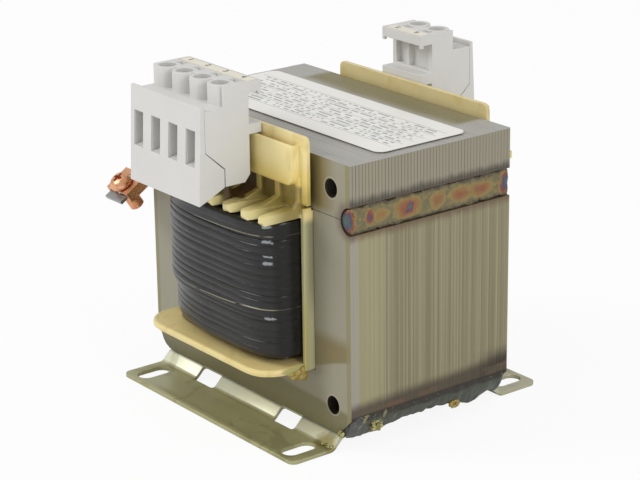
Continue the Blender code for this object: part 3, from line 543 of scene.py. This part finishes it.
def seam_mesh(side, seed):
    """The bead as a loft along Y: its back lies on the groove's wall and its face is nearly flat."""
    rings = []
    count = 260
    for step in range(count + 1):
        y = -26.0 + 51.3 * step / count
        near = min(1.0, (y + 26.0) / 1.7)
        swell = max(0.15, math.sqrt(max(0.0, 1 - (1 - near) ** 2)))
        away = min(1.0, (25.3 - y) / 1.5)
        swell *= 0.78 + 0.22 * math.sqrt(max(0.0, 1 - (1 - away) ** 2))
        sway = 0.35 * wobble(y * 0.2, seed, 0)
        half = 3.4 + 0.45 * wobble(y * 0.35, seed + 4, 0)
        half += 0.3 * wobble(y * 1.1, seed + 8, 0)
        ring = []
        for k in range(17):
            turn = math.radians(-90 + 11.25 * k)
            z = sway + half * math.sin(turn)
            crest = math.sin(math.tau * (y / 1.5 - 0.5 * math.sin(turn) ** 2)) * math.cos(turn)
            face = 41.6 + 0.36 * math.cos(turn) ** 0.8 + 0.05 * crest
            face += 0.22 * wobble(y * 0.45, z * 0.6, seed)
            ring.append((face, z))
        for k in range(11):
            turn = math.radians(75 - 15 * k)
            ring.append((41.95 - 3.4 * math.cos(turn), 3.64 * math.sin(turn)))
        rings.append([(side * (40.6 + (x - 40.6) * swell), y, SEAM_HEIGHT + z * swell) for x, z in ring])
    return loft(rings)


for name, side, seed in (("left", -1, 11.0), ("right", 1, 3.0)):
    piece = solid(f"seam_bead_{name}", seam_mesh(side, seed), bead, 60)
    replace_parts(piece, f"seam_weld_{name}")

# The base welds: a heavier, colder bead along each lower edge of the core, dipped in varnish with the
# rest, so that it is dark and lumpy, with crumbs and drops of yellow lacquer dried on it.
base = Paint("base_bead", metallic=0.15, roughness=0.36)
lump = base.cloud(0.2, 4.0)
base.skin = base.mix(lump, 0x353930, 0x595e50)
base.tint(base.fade(base.z + lump * 2.0 - 1.0, 3.2, 4.2) * 0.9, 0x2b241e)
base.tint(base.fade(base.y, -20.0, -23.5) * 0.5, 0x55545c)
crust = base.fade(base.cloud(0.5, 4.0), 0.55, 0.62) * base.fade(abs(base.y + 17.5), 7.5, 4.5)
base.tint(crust * 0.65, 0x9c9765)
base.tint(base.fade(base.cloud(2.6, 2.0), 0.66, 0.73) * 0.7, 0xa9a58a)
base.tint(base.fade(base.cloud(1.1, 2.0), 0.64, 0.72) * 0.6, 0x2c2a26)
base.set(roughness=0.26 + lump * 0.25, coat_weight=0.3,
         normal=base.bump(base.cloud(0.8, 3.0), 0.2, 0.5))


def base_mesh(side, seed):
    """The fillet under the core's edge: a lumpy quarter round along Y that sags in two places."""
    rings = []
    for step in range(161):
        y = -25.3 + 50.6 * step / 160
        tip = min(1.0, 0.8 + min(step, 160 - step) / 25)
        sag = 1.5 * math.exp(-((y + 19.0) / 6.5) ** 2) + 2.1 * math.exp(-((y - 16.5) / 5.0) ** 2)
        ring = []
        for k in range(15):
            turn = math.radians(-8 + 7.0 * k)
            ride = wobble(y * 0.18, turn * 0.8, seed) * 0.8
            ride += wobble(y * 0.6, turn * 2.0, seed + 9) * 0.4
            down = max(0.0, math.sin(turn))
            radius = (4.55 + ride * down + 0.2 * wobble(y * 0.4, 3, seed)) * tip
            ring.append((side * (37.5 + radius * math.cos(turn)), y,
                         4.5 - (radius + sag * down ** 2 + 0.35) * math.sin(turn)))
        rings.append(ring + [(side * 37.0, y, 0.4), (side * 41.6, y, 4.9)])
    return loft(rings)


for name, side, seed in (("left", -1, 5.0), ("right", 1, 2.0)):
    piece = solid(f"base_bead_{name}", base_mesh(side, seed), base, 60)
    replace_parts(piece, f"base_weld_{name}")

lacquer = Paint("lacquer_drops", roughness=0.25, coat_weight=0.4)
lacquer.skin = lacquer.mix(lacquer.fade(lacquer.cloud(0.9, 3.0), 0.4, 0.6), 0x8d8446, 0xc2bb86)
lacquer.set(normal=lacquer.bump(lacquer.cloud(1.6, 2.0), 0.1, 0.4))
amber = mottled("amber_drop", (0.8, 3.0), 0x8a7732, 0xb9a052, (1.6, 2.0), 0.1, 0.4,
                roughness=0.2, coat_weight=0.5)


def blob(places, seed, rough=0.35):
    """Drops run together: round lumps of given centre and half sizes, with an uneven skin."""
    mesh = bmesh.new()
    for number, (centre, half) in enumerate(places):
        made = bmesh.ops.create_icosphere(mesh, subdivisions=2, radius=1.0)["verts"]
        for vertex in made:
            swell = 1 + rough * noise.noise(vertex.co * 1.9 + Vector((seed, number * 3.1, 0)))
            vertex.co = Vector(centre) + Vector([c * s * swell for c, s in zip(vertex.co, half)])
    return mesh


def crumbs(centre, spread, count, seed):
    """Places for a cluster of small crumbs, thrown about a centre by noise."""
    places = []
    for k in range(count):
        throw = noise.noise_vector(Vector((k * 1.7, seed, 0.3)))
        size = 0.28 + 0.3 * abs(wobble(k * 2.3, seed, 7.7))
        places.append((Vector(centre) + Vector([t * s * 1.8 for t, s in zip(throw, spread)]),
                       (size, size * 1.2, size * 0.8)))
    return places


# The crumbs are drawn with a fixed seed, so that they lie the same each time.
noise.seed_set(904)
ring_of = [((41.0 + 0.1 * along, 8.6 + 1.1 * along, 0.1 + 0.7 * up), (0.6, 0.62, 0.52))
           for along, up in around(9, 1.0)]
ring_of.append(((40.7, 8.6, 0.1), (0.4, 0.9, 0.6)))
for name, places, seed, finish in (
        ("crumbs_near", crumbs((41.3, -17.0, 1.3), (0.5, 2.1, 1.5), 60, 1.0), 1.0, lacquer),
        ("drop_middle", ring_of, 4.0, amber),
        ("crumbs_corner", crumbs((38.6, -25.9, 0.4), (0.9, 0.3, 1.2), 16, 6.0), 6.0, lacquer),
        ("drip_foot", crumbs((35.6, -27.9, -2.9), (1.6, 0.7, 0.5), 16, 8.0), 8.0, lacquer),
        ("smear_flange", [((26.6, -29.8, 14.1), (0.8, 1.3, 1.0)), ((26.2, -31.6, 14.0), (0.8, 1.7, 0.7)),
                          ((26.9, -28.6, 14.4), (0.7, 1.0, 1.4)), ((26.6, -28.3, 12.9), (0.7, 1.5, 1.3)),
                          ((26.2, -30.6, 13.2), (0.8, 1.8, 1.0))], 9.0, amber)):
    solid(f"lacquer_{name}", blob(places, seed), finish, 80)

# The feet: strips of one millimetre sheet steel, bent twice so that the core stands clear of the
# chassis. Two windows are punched through the bend, and a slot for a screw near each end.
foot = Paint("foot_steel", metallic=0.55, roughness=0.36)
stain = foot.cloud(0.12, 3.0, warp=0.6)
# Painted light: the web between the bends, which stands in shade, is painted lighter than the flanges.
web_painted_light = foot.fade(abs(foot.y), 28.6, 27.6) * foot.fade(foot.z, -3.6, -3.0)
foot.skin = foot.mix(stain, 0xa8a67a, 0xbcba92)
foot.tint(web_painted_light * 0.9, foot.mix(stain, 0xc8c9b0, 0xdcdcc6))
foot.tint(foot.fade(foot.y, 27.0, 29.0) * 0.5, 0xd0cdba)
# A painted highlight in patches along each bend of the foot.
bend_highlight = foot.fade(abs(abs(foot.y) - 28.5), 0.9, 0.2)
foot.tint(bend_highlight * foot.fade(foot.cloud(0.1), 0.35, 0.55) * 0.55, 0xcfc98e)
pool = foot.fade(foot.cloud(0.07, 2.0, warp=1.2), 0.56, 0.64)
foot.tint(pool * 0.35, 0x7a7448)
spill = foot.far((foot.x - 34.5) / 4.5, (foot.y + 27.8) / 2.6)
spill = foot.fade(spill + foot.cloud(0.5, 3.0) * 0.6 - 0.3, 1.1, 0.5)
foot.tint(spill * 0.8, 0x87793c)
foot.set(roughness=0.3 + stain * 0.2, coat_weight=0.15,
         normal=foot.bump(foot.cloud(0.6, 3.0, (0.15, 1, 1)), 0.05, 0.3))


def bent_strip(side):
    """The strip's section with round bends, drawn along its middle and thickened both ways."""
    path = [(12.0, -0.8)]
    for corner, before, after in (((24.75, -0.8), (12.0, -0.8), (27.75, -3.8)),
                                  ((27.75, -3.8), (24.75, -0.8), (40.5, -3.8))):
        corner, before, after = Vector(corner), Vector(before), Vector(after)
        start = corner + (before - corner).normalized() * 0.9
        end = corner + (after - corner).normalized() * 0.9
        for k in range(6):
            t = k / 5
            path.append(tuple(start * (1 - t) ** 2 + corner * 2 * t * (1 - t) + end * t ** 2))
    path.append((40.5, -3.8))
    outer, inner = [], []
    for i, (y, z) in enumerate(path):
        a = Vector(path[max(i - 1, 0)])
        b = Vector(path[min(i + 1, len(path) - 1)])
        normal = Vector((-(b - a).y, (b - a).x)).normalized() * 0.5
        outer.append((side * (y + normal.x), z + normal.y))
        inner.append((side * (y - normal.x), z - normal.y))
    outline = outer + inner[::-1]
    return loft([[(x, y, z) for y, z in outline] for x in (-37.5, 37.5)])


def upright(rim):
    """A punch with the given outline, tall enough to go through a foot."""
    return loft([[(x, y, z) for x, y in rim] for z in (-8, 3)])


def round_plug(x, y, half_x, half_y, radius, steps=8):
    """A punch with round corners, to cut one opening."""
    rim = []
    for corner, (sx, sy) in enumerate(((1, 1), (-1, 1), (-1, -1), (1, -1))):
        for step in range(steps + 1):
            turn = math.radians(90 * (corner + step / steps))
            rim.append((x + sx * (half_x - radius) + radius * math.cos(turn),
                        y + sy * (half_y - radius) + radius * math.sin(turn)))
    return upright(rim)


def corner_plug(x, y, radius=2.0):
    """A punch that rounds off the foot's corner, which is at x and y."""
    sx = math.copysign(1, x)
    sy = math.copysign(1, y)
    arc = [math.radians(angle) for angle in range(0, 91, 10)]
    rim = [(x + sx * radius * (math.cos(turn) - 1), y + sy * radius * (math.sin(turn) - 1))
           for turn in arc]
    rim += [(x - sx * radius, y + sy), (x + sx, y + sy), (x + sx, y - sy * radius)]
    return upright(rim)


def cut_away(piece, mesh, finish):
    """Cut a piece with a punch for good: the punch is removed and no modifier stays."""
    punch = solid(piece.name + "_punch", mesh, finish, 0)
    step = piece.modifiers.new("cut", "BOOLEAN")
    step.operation = "DIFFERENCE"
    step.solver = "EXACT"
    step.object = punch
    bpy.context.view_layer.update()
    cut = baked(piece)
    piece.modifiers.remove(step)
    piece.data = cut
    bpy.data.objects.remove(punch, do_unlink=True)


for name, side in (("front", -1), ("rear", 1)):
    piece = solid(f"foot_strip_{name}", bent_strip(side), foot, 30)
    for x in (-17.4, 17.4):
        cut_away(piece, round_plug(x, side * 26.5, 4.3, 2.05, 0.9, 4), foot)
    for x in (-32, 32):
        cut_away(piece, round_plug(x, side * 34.3, 2.4, 4.7, 2.39), foot)
        cut_away(piece, corner_plug(math.copysign(37.5, x), side * 40.5), foot)
    rounded(piece, 0.12, 2, 50)
    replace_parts(piece, f"foot_{name}")

# The coil former: one moulding in cream nylon that has turned translucent with the varnish. It
# carries the windings, its combs part the wires, and its two plates hold the terminal blocks.
nylon = Paint("cream_nylon", roughness=0.3, subsurface_weight=0.15, subsurface_scale=0.0012,
              coat_weight=0.3)
cloudy = nylon.cloud(0.07, 3.0)
nylon.skin = nylon.mix(cloudy, 0xf0dd9a, 0xf8e8ad)
low_pocket = nylon.fade(nylon.z + cloudy * 3.0, 70.5, 63.0) * nylon.fade(nylon.z, 55.0, 57.0)
nylon.tint(low_pocket * 0.75, 0xe6c958)
shaded = nylon.fade(abs(nylon.y), 29.5, 28.7) * nylon.fade(nylon.z, 62.3, 61.3)
shaded = shaded * nylon.fade(nylon.z, 54.6, 55.4) * nylon.fade(abs(nylon.x), 27.5, 26.8)
dusk = nylon.mix(nylon.fade(abs(nylon.x), 17.5, 20.0), 0x5f4d26, 0x8d7b42)
nylon.tint(shaded * 0.9, dusk)
# Painted shade on the ribs under the pocket.
rib_shade = nylon.fade(abs(nylon.y), 28.6, 29.2) * nylon.fade(abs(nylon.y), 31.2, 30.2)
rib_shade = rib_shade * nylon.fade(nylon.z, 62.6, 61.8) * nylon.fade(nylon.z, 56.2, 57.2)
nylon.tint(rib_shade * 0.65, 0x94824a)
outer_strip = nylon.fade(nylon.z, 64.0, 59.0) * nylon.fade(nylon.z, 56.0, 57.0)
outer_strip = outer_strip * nylon.fade(abs(nylon.x), 26.6, 27.2)
nylon.tint(outer_strip * 0.6, 0xaa9c58)
# The fingers keep a pale nylon tone at their tips, with painted shade that darkens them towards their
# roots under the pocket.
finger = nylon.fade(abs(nylon.y), 27.5, 29.5) * nylon.fade(abs(nylon.z - 55.0), 3.6, 2.6)
finger_tone_and_shade = nylon.mix(nylon.fade(abs(nylon.y), 39.5, 32.0), 0xe2d69a, 0x84753a)
nylon.tint(finger * 0.85, finger_tone_and_shade)
# Painted shade: the side walls are painted as a darker, greener copy of the nylon, darkest at the top
# towards the core.
side_wall = nylon.fade(abs(nylon.x), 26.4, 26.7) * nylon.fade(nylon.z, 54.5, 52.0)
low_down = nylon.fade(nylon.z, 40.0, 24.0)
side_wall_shade = nylon.mix(nylon.fade(abs(nylon.y), 28.4, 26.4), nylon.mix(low_down, 0xaeac82, 0xb0aa6a),
                      nylon.mix(low_down, 0x8b8a70, 0xb5b391))
nylon.tint(side_wall * 0.9, side_wall_shade)
flange = nylon.fade(nylon.z, 16.6, 16.0) * nylon.fade(abs(nylon.x), 26.8, 26.4)
nylon.tint(flange * 0.4, 0xe6c878)
rear_plate = nylon.fade(nylon.y, 20.0, 26.0) * nylon.fade(nylon.z, 58.0, 61.0)
nylon.tint(rear_plate, nylon.mix(cloudy, 0xd9c88f, 0xe6d6a2))
honey = nylon.fade(nylon.cloud(0.12, 2.0, warp=1.0), 0.52, 0.7)
nylon.tint(honey * (1 - side_wall) * 0.3, 0xcdb056)
nylon.set(roughness=0.24 + cloudy * 0.2,
          normal=nylon.bump(nylon.cloud(0.5, 2.0), 0.12, 0.35))
piece = softened("former", "coil_former", nylon, 0.18, 3, 40)
# The fingers grow thinner at their tips.
for vertex in piece.data.vertices:
    spot = (vertex.co - core_zero) / MM
    if abs(spot.y) > 39.6 and 53.5 < spot.z < 57:
        vertex.co.z += (0.85 if spot.z < 55.2 else -0.25) * MM


def rolled_edge(side):
    """The flange's round outer edge, a bar that follows it from one side wall to the other."""
    path = [(25.95, 29.6)]
    for start, middle in ((0, 19.2), (90, -19.2)):
        path += [(middle + 6.75 * math.cos(math.radians(a)), 33.0 + 6.75 * math.sin(math.radians(a)))
                 for a in range(start, start + 91, 9)]
    path.append((-25.95, 29.6))
    rings = []
    for i, spot in enumerate(path):
        run = (Vector(path[min(i + 1, len(path) - 1)]) - Vector(path[max(i - 1, 0)])).normalized()
        rings.append([(spot[0] + run.y * out, side * (spot[1] - run.x * out), 15.15 + up)
                      for out, up in around(16, 0.92)])
    return loft(rings)


for name, side in (("front", -1), ("rear", 1)):
    solid(f"flange_edge_{name}", rolled_edge(side), nylon, 50)

# The windings: thick enamelled wire wound in flat layers and bulged where it leaves the core, with
# a wrap at the top. The varnish fills the hollows between the turns and leaves the coil glossy black.
wire = Paint("varnished_winding", roughness=0.28, coat_weight=0.15)
wire.feed(wire.surface, "Specular IOR Level", 0.27)
patchy = wire.cloud(0.12, 3.0, (1, 1, 2))
wire.skin = wire.mix(patchy, 0x1a1a1a, 0x30302f)
brown = wire.fade(wire.z, 21.5, 18.6) + wire.fade(abs(wire.x), 22.5, 26.0) * 0.5
wire.tint(brown * 0.45, 0x2a2016)
slope = wire.z - wire.x * 0.03
for height, width in ((49.3, 0.15), (30.2, 0.17)):
    thread = wire.fade(abs(slope - height + wire.cloud(0.05) * 0.8 - 0.4), width, width * 0.3)
    thread = thread * wire.fade(wire.cloud(0.3, 2.0), 0.35, 0.5)
    wire.tint(thread * wire.fade(wire.x, -22.0, 12.0) * 0.8, 0xa39d80)
# Painted shade: the coil's end is painted near black beside the former's side wall.
wire.tint(wire.fade(wire.x, 23.6, 25.2) * 0.8, 0x0c0c0b)
glints = 0.0
for height, width in ((52.4, 0.5), (48.6, 0.45), (44.8, 0.25), (43.0, 0.45), (28.8, 0.35)):
    glint = wire.fade(abs(wire.x - 23.2 + wire.cloud(1.0, 3.0) * 2.4 - 1.2), 1.2, 0.7)
    glint = glint * wire.fade(abs(wire.z - height + wire.cloud(0.9, 3.0) * 1.2 - 0.6), width, width * 0.4)
    glints = wire.sum("MAXIMUM", glints, glint)
wire.tint(glints * 0.85, 0x9aa0a4)
wire.set(roughness=0.2 + patchy * 0.2,
         normal=wire.bump(wire.cloud(0.35, 3.0, (0.5, 0.5, 2.0)), 0.35, 0.6))


def coil_reach(half_x, reach, left, right, count=28):
    """The front half of a winding's outline and, mirrored, its rear half."""
    ends = []
    for step in range(2 * count + 1):
        angle = math.pi * step / (2 * count)
        power = 2 / (right if step <= count else left)
        across = abs(math.cos(angle)) ** power
        out = abs(math.sin(angle)) ** power
        ends.append((half_x * across * (1 if step <= count else -1), 25.9 + (reach - 25.9) * out))
    return ends + [(x, -y) for x, y in reversed(ends)]


def winding_mesh(layers, inner, low, high):
    """A ring from (height, half width, reach, left power) layers outside and a plain wall inside."""
    mesh = bmesh.new()
    rows = []
    for z, half_x, reach, left in layers:
        rows.append([mesh.verts.new((x, y, z)) for x, y in coil_reach(half_x, reach, left, 4.0)])
    for z in (high, low):
        rows.append([mesh.verts.new((x, y, z)) for x, y in inner])
    for a, b in zip(rows, rows[1:] + rows[:1]):
        for i in range(len(a)):
            j = (i + 1) % len(a)
            mesh.faces.new((a[i], a[j], b[j], b[i]))
    bmesh.ops.recalc_face_normals(mesh, faces=mesh.faces)
    return mesh


coil_low, coil_high, turn_pitch = 18.5, 53.3, 1.8
layers = []
for step in range(281):
    z = coil_low + (coil_high - coil_low) * step / 280
    lay = (z - 20.3) / turn_pitch + 0.12 * math.sin(z * 1.3)
    ridge = abs(math.sin(math.pi * lay)) ** 0.6
    depth = 0.24 + 0.18 * (0.5 + 0.5 * math.sin(math.floor(lay) * 2.4))
    if z > 49.3 or z < 20.3:
        ridge, depth = 1.0, 0.0
    slack = 0.2 * math.sin(z * 0.9) + 0.14 * math.sin(z * 2.3 + 1) + 0.3 * math.sin(math.floor(lay) * 1.9)
    step_in = 1.6 / (1 + math.exp((z - 28.0) * 3.0))
    rim = max(0.0, 1 - (z - coil_low) / 1.2, 1 - (coil_high - z) / 0.8)
    take = depth * (1 - ridge) - 0.12 * slack + 0.5 * rim ** 2
    layers.append((z, 26.15 - take * 0.25, 38.95 - take - step_in * 0.35, 2.25 - step_in * 0.22))
inner = coil_reach(22.7, 34.5, 4.0, 4.0)
piece = solid("outer_coil", winding_mesh(layers, inner, coil_low, coil_high), wire, 60)
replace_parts(piece, "outer_winding")

tape = mottled("brown_tape", (0.25, 3.0), 0x2a2018, 0x4a3826, (0.7, 2.0, (1, 1, 4)), 0.15, 0.5,
               roughness=0.35, coat_weight=0.4)
softened("coil_tape", "winding_tape", tape, 0.1)
copper_wire = Paint("inner_copper", metallic=0.6, roughness=0.35)
copper_wire.skin = copper_wire.mix(copper_wire.cloud(0.3), 0x7a4426, 0x96583a)
copper_wire.set(normal=copper_wire.bump(copper_wire.sum("SINE", copper_wire.z * 7.0), 0.1, 0.6))
softened("inner_coil", "inner_winding", copper_wire, 0.1)

# The terminal blocks: grey housings hung on the former's plates, each with a snapped-on cover that
# has one tall mouth for a wire at every pole, screw towers and a cream marker strip behind them.
grey = Paint("block_plastic", roughness=0.48)
fine = grey.cloud(2.2, 2.0)
grey.skin = grey.mix(grey.cloud(0.09, 2.0), 0xd3d2ce, 0xdcdbd8)
grey.tint(grey.fade(fine, 0.66, 0.74) * 0.12, 0xa8a69e)
grey.set(roughness=0.42 + fine * 0.14, normal=grey.bump(grey.cloud(3.0, 3.0), 0.03, 0.5))
strip_skin = mottled("marker_strip", (0.3,), 0xefeadb, 0xe6e0cd, (1.5,), 0.03, 0.4, roughness=0.45)
plated = mottled("plated_steel", (0.4, 3.0), 0x8f9190, 0xb4b6b4, (1.2, 3.0), 0.06, 0.5,
                 metallic=0.75, roughness=0.32)
sleeve = mottled("brown_sleeve", (0.5, 3.0), 0x3a2a18, 0x62471f, (1.0, 2.0), 0.2, 0.5,
                 roughness=0.5, coat_weight=0.1)


def lined_mouths(places, side):
    """Thin square sleeves that line the wire mouths through cover and housing."""
    mesh = bmesh.new()
    for x in places:
        for x0, x1, z0, z1 in ((-1.95, -1.8, 66.3, 75.3), (1.8, 1.95, 66.3, 75.3),
                               (-1.8, 1.8, 66.3, 66.45), (-1.8, 1.8, 75.15, 75.3)):
            made = bmesh.ops.create_cube(mesh, size=1.0)["verts"]
            y0, y1 = sorted((side * 40.6, side * 46.52))
            for vertex in made:
                c = vertex.co
                inside = z0 < 66.4 and z1 < 67 and (c.y > 0) == (side < 0)
                vertex.co = Vector((x + (x1 if c.x > 0 else x0), y1 if c.y > 0 else y0,
                                    z1 + 1.5 * inside if c.z > 0 else z0))
    return mesh


def turned(profile, segments=32):
    """A closed solid of revolution about Z from (radius, height) points that start and end on the axis."""
    mesh = bmesh.new()
    rings = []
    for radius, z in profile:
        points = around(segments, radius) if radius else [(0, 0)]
        rings.append([mesh.verts.new((x, y, z)) for x, y in points])
    for a, b in zip(rings, rings[1:]):
        for k in range(segments):
            j = (k + 1) % segments
            corners = [a[k % len(a)], a[j % len(a)], b[j % len(b)], b[k % len(b)]]
            mesh.faces.new(list(dict.fromkeys(corners)))
    bmesh.ops.recalc_face_normals(mesh, faces=mesh.faces)
    return mesh


def slot_punch(width, depth, middle, height, taper=1.0):
    """A box about a height on the Z axis, with its foot narrowed by taper, to cut a screw's slot."""
    mesh = bmesh.new()
    for vertex in bmesh.ops.create_cube(mesh, size=1.0)["verts"]:
        share = taper if vertex.co.z < 0 else 1.0
        vertex.co = Vector((vertex.co.x * width * share, vertex.co.y * depth * share,
                            middle + vertex.co.z * height))
    return mesh


def lead_mesh(x, y):
    """A sleeved wire from the coil up into its pole, never quite straight or round."""
    rings = []
    for step in range(15):
        t = step / 14
        radius = 0.88 + 0.05 * math.sin(step * 1.9 + x)
        middle = Vector((x + 0.25 * math.sin(3.1 * t + x), y + 0.2 * math.sin(4 * t + x), 53.6 + 6.55 * t))
        rings.append([middle + Vector((across, out, 0)) for across, out in around(16, radius)])
    return loft(rings)


def joined(meshes):
    """Several meshes as one."""
    whole = bmesh.new()
    for mesh in meshes:
        part = bpy.data.meshes.new("part")
        mesh.to_mesh(part)
        mesh.free()
        whole.from_mesh(part)
        bpy.data.meshes.remove(part)
    return whole


def digit_mesh(text, x, y, z, height, turn):
    """A plain number printed on the marker strip, as thin raised ink."""
    curve = bpy.data.curves.new("number", "FONT")
    curve.body = text
    curve.size = height
    curve.align_x = "CENTER"
    curve.align_y = "CENTER"
    curve.extrude = 0.02
    curve.resolution_u = 3
    written = bpy.data.objects.new("number", curve)
    link(written)
    bpy.context.view_layer.update()
    data = baked(written)
    bpy.data.objects.remove(written, do_unlink=True)
    mesh = bmesh.new()
    mesh.from_mesh(data)
    bmesh.ops.rotate(mesh, verts=mesh.verts, matrix=Matrix.Rotation(turn, 3, "Z"))
    bmesh.ops.translate(mesh, verts=mesh.verts, vec=(x, y, z))
    return mesh


ink = Paint("grey_ink", roughness=0.6)
ink.skin = ink.mix(ink.cloud(2.0), 0x5b5b5c, 0x77777a)
ink.set()
number = 0
for block, side, places in (("front_block", -1, (-15.0, -7.5, 0.0, 7.5)), ("rear_block", 1, (-7.5, 0.0))):
    softened(f"{block}_body", f"{block}_housing", grey, 0.14, 2, 30)
    lid = softened(f"{block}_lid", f"{block}_cover", grey, 0.14, 2, 30)
    # The rim of the lid's face leans in a little.
    for vertex in lid.data.vertices:
        spot = (vertex.co - core_zero) / MM
        if abs(abs(spot.y) - 45.7) < 0.02 and spot.z > 69.5:
            vertex.co.y -= math.copysign(0.24 * MM, spot.y)
    solid(f"{block}_mouths", lined_mouths(places, side), grey, 0)
    softened(f"{block}_strip", f"{block}_marker", strip_skin, 0.08)
    prints = []
    for x in places:
        number += 1
        prints.append(digit_mesh(str(number), x, side * 30.6, 85.72, 2.2, 0.0 if side < 0 else math.pi))
    solid(f"{block}_numbers", joined(prints), ink, 0)
    for pole, x in enumerate(places, 1):
        softened(f"{block}_clamp_{pole}", f"{block}_cage_{pole}", plated, 0.2)
        head = turned([(0, 72.2), (1.1, 72.2), (1.3, 72.5), (1.3, 78.3), (1.75, 78.3), (1.9, 78.45),
                       (1.9, 80.2), (1.7, 80.45), (0, 80.5)])
        bmesh.ops.translate(head, vec=(x, side * 37.6, 0), verts=head.verts)
        screw = solid(f"{block}_bolt_{pole}", head, plated, 40)
        for sx, sy in ((6.0, 0.6), (0.5, 2.4)):
            cut = slot_punch(sx, sy, 80.6, 1.9)
            bmesh.ops.translate(cut, vec=(x, side * 37.6, 0), verts=cut.verts)
            cut_away(screw, cut, plated)
        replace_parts(screw, f"{block}_screw_{pole}")
        lead = solid(f"{block}_wire_{pole}", lead_mesh(x, side * 36.3), sleeve, 60)
        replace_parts(lead, f"{block}_lead_{pole}")

# The insulation flap: a folded tab of brown varnished paper that stands on each comb, between the
# carrier plate and the leads, and keeps the bare ends off the core.
fold = [(28.75, 61.2), (28.9, 59.8), (29.3, 58.2), (30.4, 57.1), (32.0, 56.75), (34.6, 56.7)]
for name, side, left, right in (("front", -1, -20.5, 11.3), ("rear", 1, -11.3, 3.8)):
    rings = []
    for step in range(25):
        x = left + (right - left) * step / 24
        inner, outer = ([(x, side * (d + offset + 0.18 * wobble(x * 0.3, d, 2)),
                          z + offset + 0.2 * wobble(x * 0.35, z, 5)) for d, z in fold]
                        for offset in (0.0, 0.22))
        rings.append(inner + outer[::-1])
    solid(f"insulation_flap_{name}", loft(rings), sleeve, 50)

# The earth clamp: a bent lug of plated steel, riveted to the core's upper left hole, whose slanting
# tab carries a copper saddle and a round-headed copper screw for the earth wire.
softened("lug", "earth_lug", plated, 0.15)
rivet_mesh = turned([(0, -8.6), (2.1, -8.6), (2.1, 0.3), (3.5, 0.3), (3.45, 0.9), (2.6, 1.4), (1.2, 1.62),
                     (0, 1.66)])
rivet_place = Matrix.Translation((-HOLE_X, -26.9, HOLE_HIGH)) @ Matrix.Rotation(math.radians(90), 4, "X")
bmesh.ops.transform(rivet_mesh, verts=rivet_mesh.verts, matrix=rivet_place)
rivet = solid("rivet", rivet_mesh, plated, 40)
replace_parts(rivet, "lug_rivet")

copper = Paint("bare_copper", metallic=0.85, roughness=0.24)
copper.skin = copper.mix(copper.cloud(0.5, 3.0), 0xe29a70, 0xf8c39c)
copper.tint(copper.fade(copper.cloud(0.8, 3.0, warp=0.8), 0.5, 0.7) * 0.5, 0x9a5236)
copper.set(roughness=0.2 + copper.cloud(1.5) * 0.18,
           normal=copper.bump(copper.cloud(1.2, 3.0), 0.12, 0.5))
softened("saddle", "earth_saddle", copper, 0.28, 3)
lean, tilt = math.radians(31), math.radians(57)
across = Vector((1, 0, 0))
slant = Vector((0, math.sin(tilt), math.cos(tilt)))
outward = across.cross(slant)
arm = Vector((-math.sin(lean), 0, -math.cos(lean))) * 14.3
seat = Vector((-HOLE_X, -25.9, HOLE_HIGH)) + arm - slant * 9.5 + outward * 1.3
screw_profile = [(0, -7.5), (1.2, -7.5), (1.75, -7.2)]
for turn in range(13):
    z = -7.0 + turn * 0.5
    screw_profile += [(1.98, z), (1.8, z + 0.25)]
screw_profile += [(1.98, -0.6), (1.98, 0.95), (3.1, 1.1), (3.2, 1.45), (3.1, 2.0), (2.75, 2.65),
                  (2.1, 3.15), (1.3, 3.4), (0, 3.5)]
screw_mesh = turned(screw_profile, 40)
frame_of = Matrix((across, slant, outward)).transposed().to_4x4()
bmesh.ops.transform(screw_mesh, verts=screw_mesh.verts, matrix=Matrix.Translation(seat) @ frame_of)
bolt = solid("earth_bolt", screw_mesh, copper, 40)
for sx, sy in ((3.3, 1.0), (1.0, 3.3)):
    cross_cut = slot_punch(sx, sy, 3.2, 2.2, 0.7)
    bmesh.ops.transform(cross_cut, verts=cross_cut.verts, matrix=Matrix.Translation(seat) @ frame_of)
    cut_away(bolt, cross_cut, copper)
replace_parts(bolt, "earth_screw")

# The rating label: a white film stuck on the core's top, printed with the thin rules and the grey
# bars of a form.
film = Paint("label_film", roughness=0.35)
film.skin = film.mix(film.cloud(0.05, 2.0), 0xf5f4ef, 0xecebe5)
rules = 0.0
for height, start, end in ((8.9, -38.0, 37.0), (5.4, -22.0, 37.0), (1.9, -38.0, 37.0), (-1.6, -22.0, 37.0),
                           (-5.1, -38.0, 37.0), (-8.6, -38.0, 37.0)):
    mark = film.fade(abs(film.y - height), 0.13, 0.07)
    mark = mark * film.fade(film.x, start - 0.05, start) * film.fade(film.x, end + 0.05, end)
    rules = film.sum("MAXIMUM", rules, mark)
for place in (-22.0, -2.0, 16.0, 27.0):
    mark = film.fade(abs(film.x - place), 0.13, 0.07) * film.fade(abs(film.y - 0.15), 8.8, 8.7)
    rules = film.sum("MAXIMUM", rules, mark)
for row, height in enumerate((7.9, 6.4, 4.4, 2.9, 0.9, -0.6, -2.6, -4.1, -6.1, -7.6)):
    cell = film.node("ShaderNodeTexWhiteNoise", {"noise_dimensions": "1D"}, {
        "W": film.sum("FLOOR", film.x * 1.1) + row * 37.0}, 0)
    bar = film.fade(abs(film.y - height), 0.4, 0.28) * (cell > 0.42)
    bar = bar * film.fade(film.x, -36.1, -36.0) * film.fade(film.x, 35.1, 35.0)
    rules = film.sum("MAXIMUM", rules, bar)
film.tint(rules * 0.7, 0x77777a)
film.set(roughness=0.3 + film.cloud(0.2) * 0.1, normal=film.bump(film.cloud(0.06), 0.2, 0.2))
softened("label", "rating_label", film, 0.05)
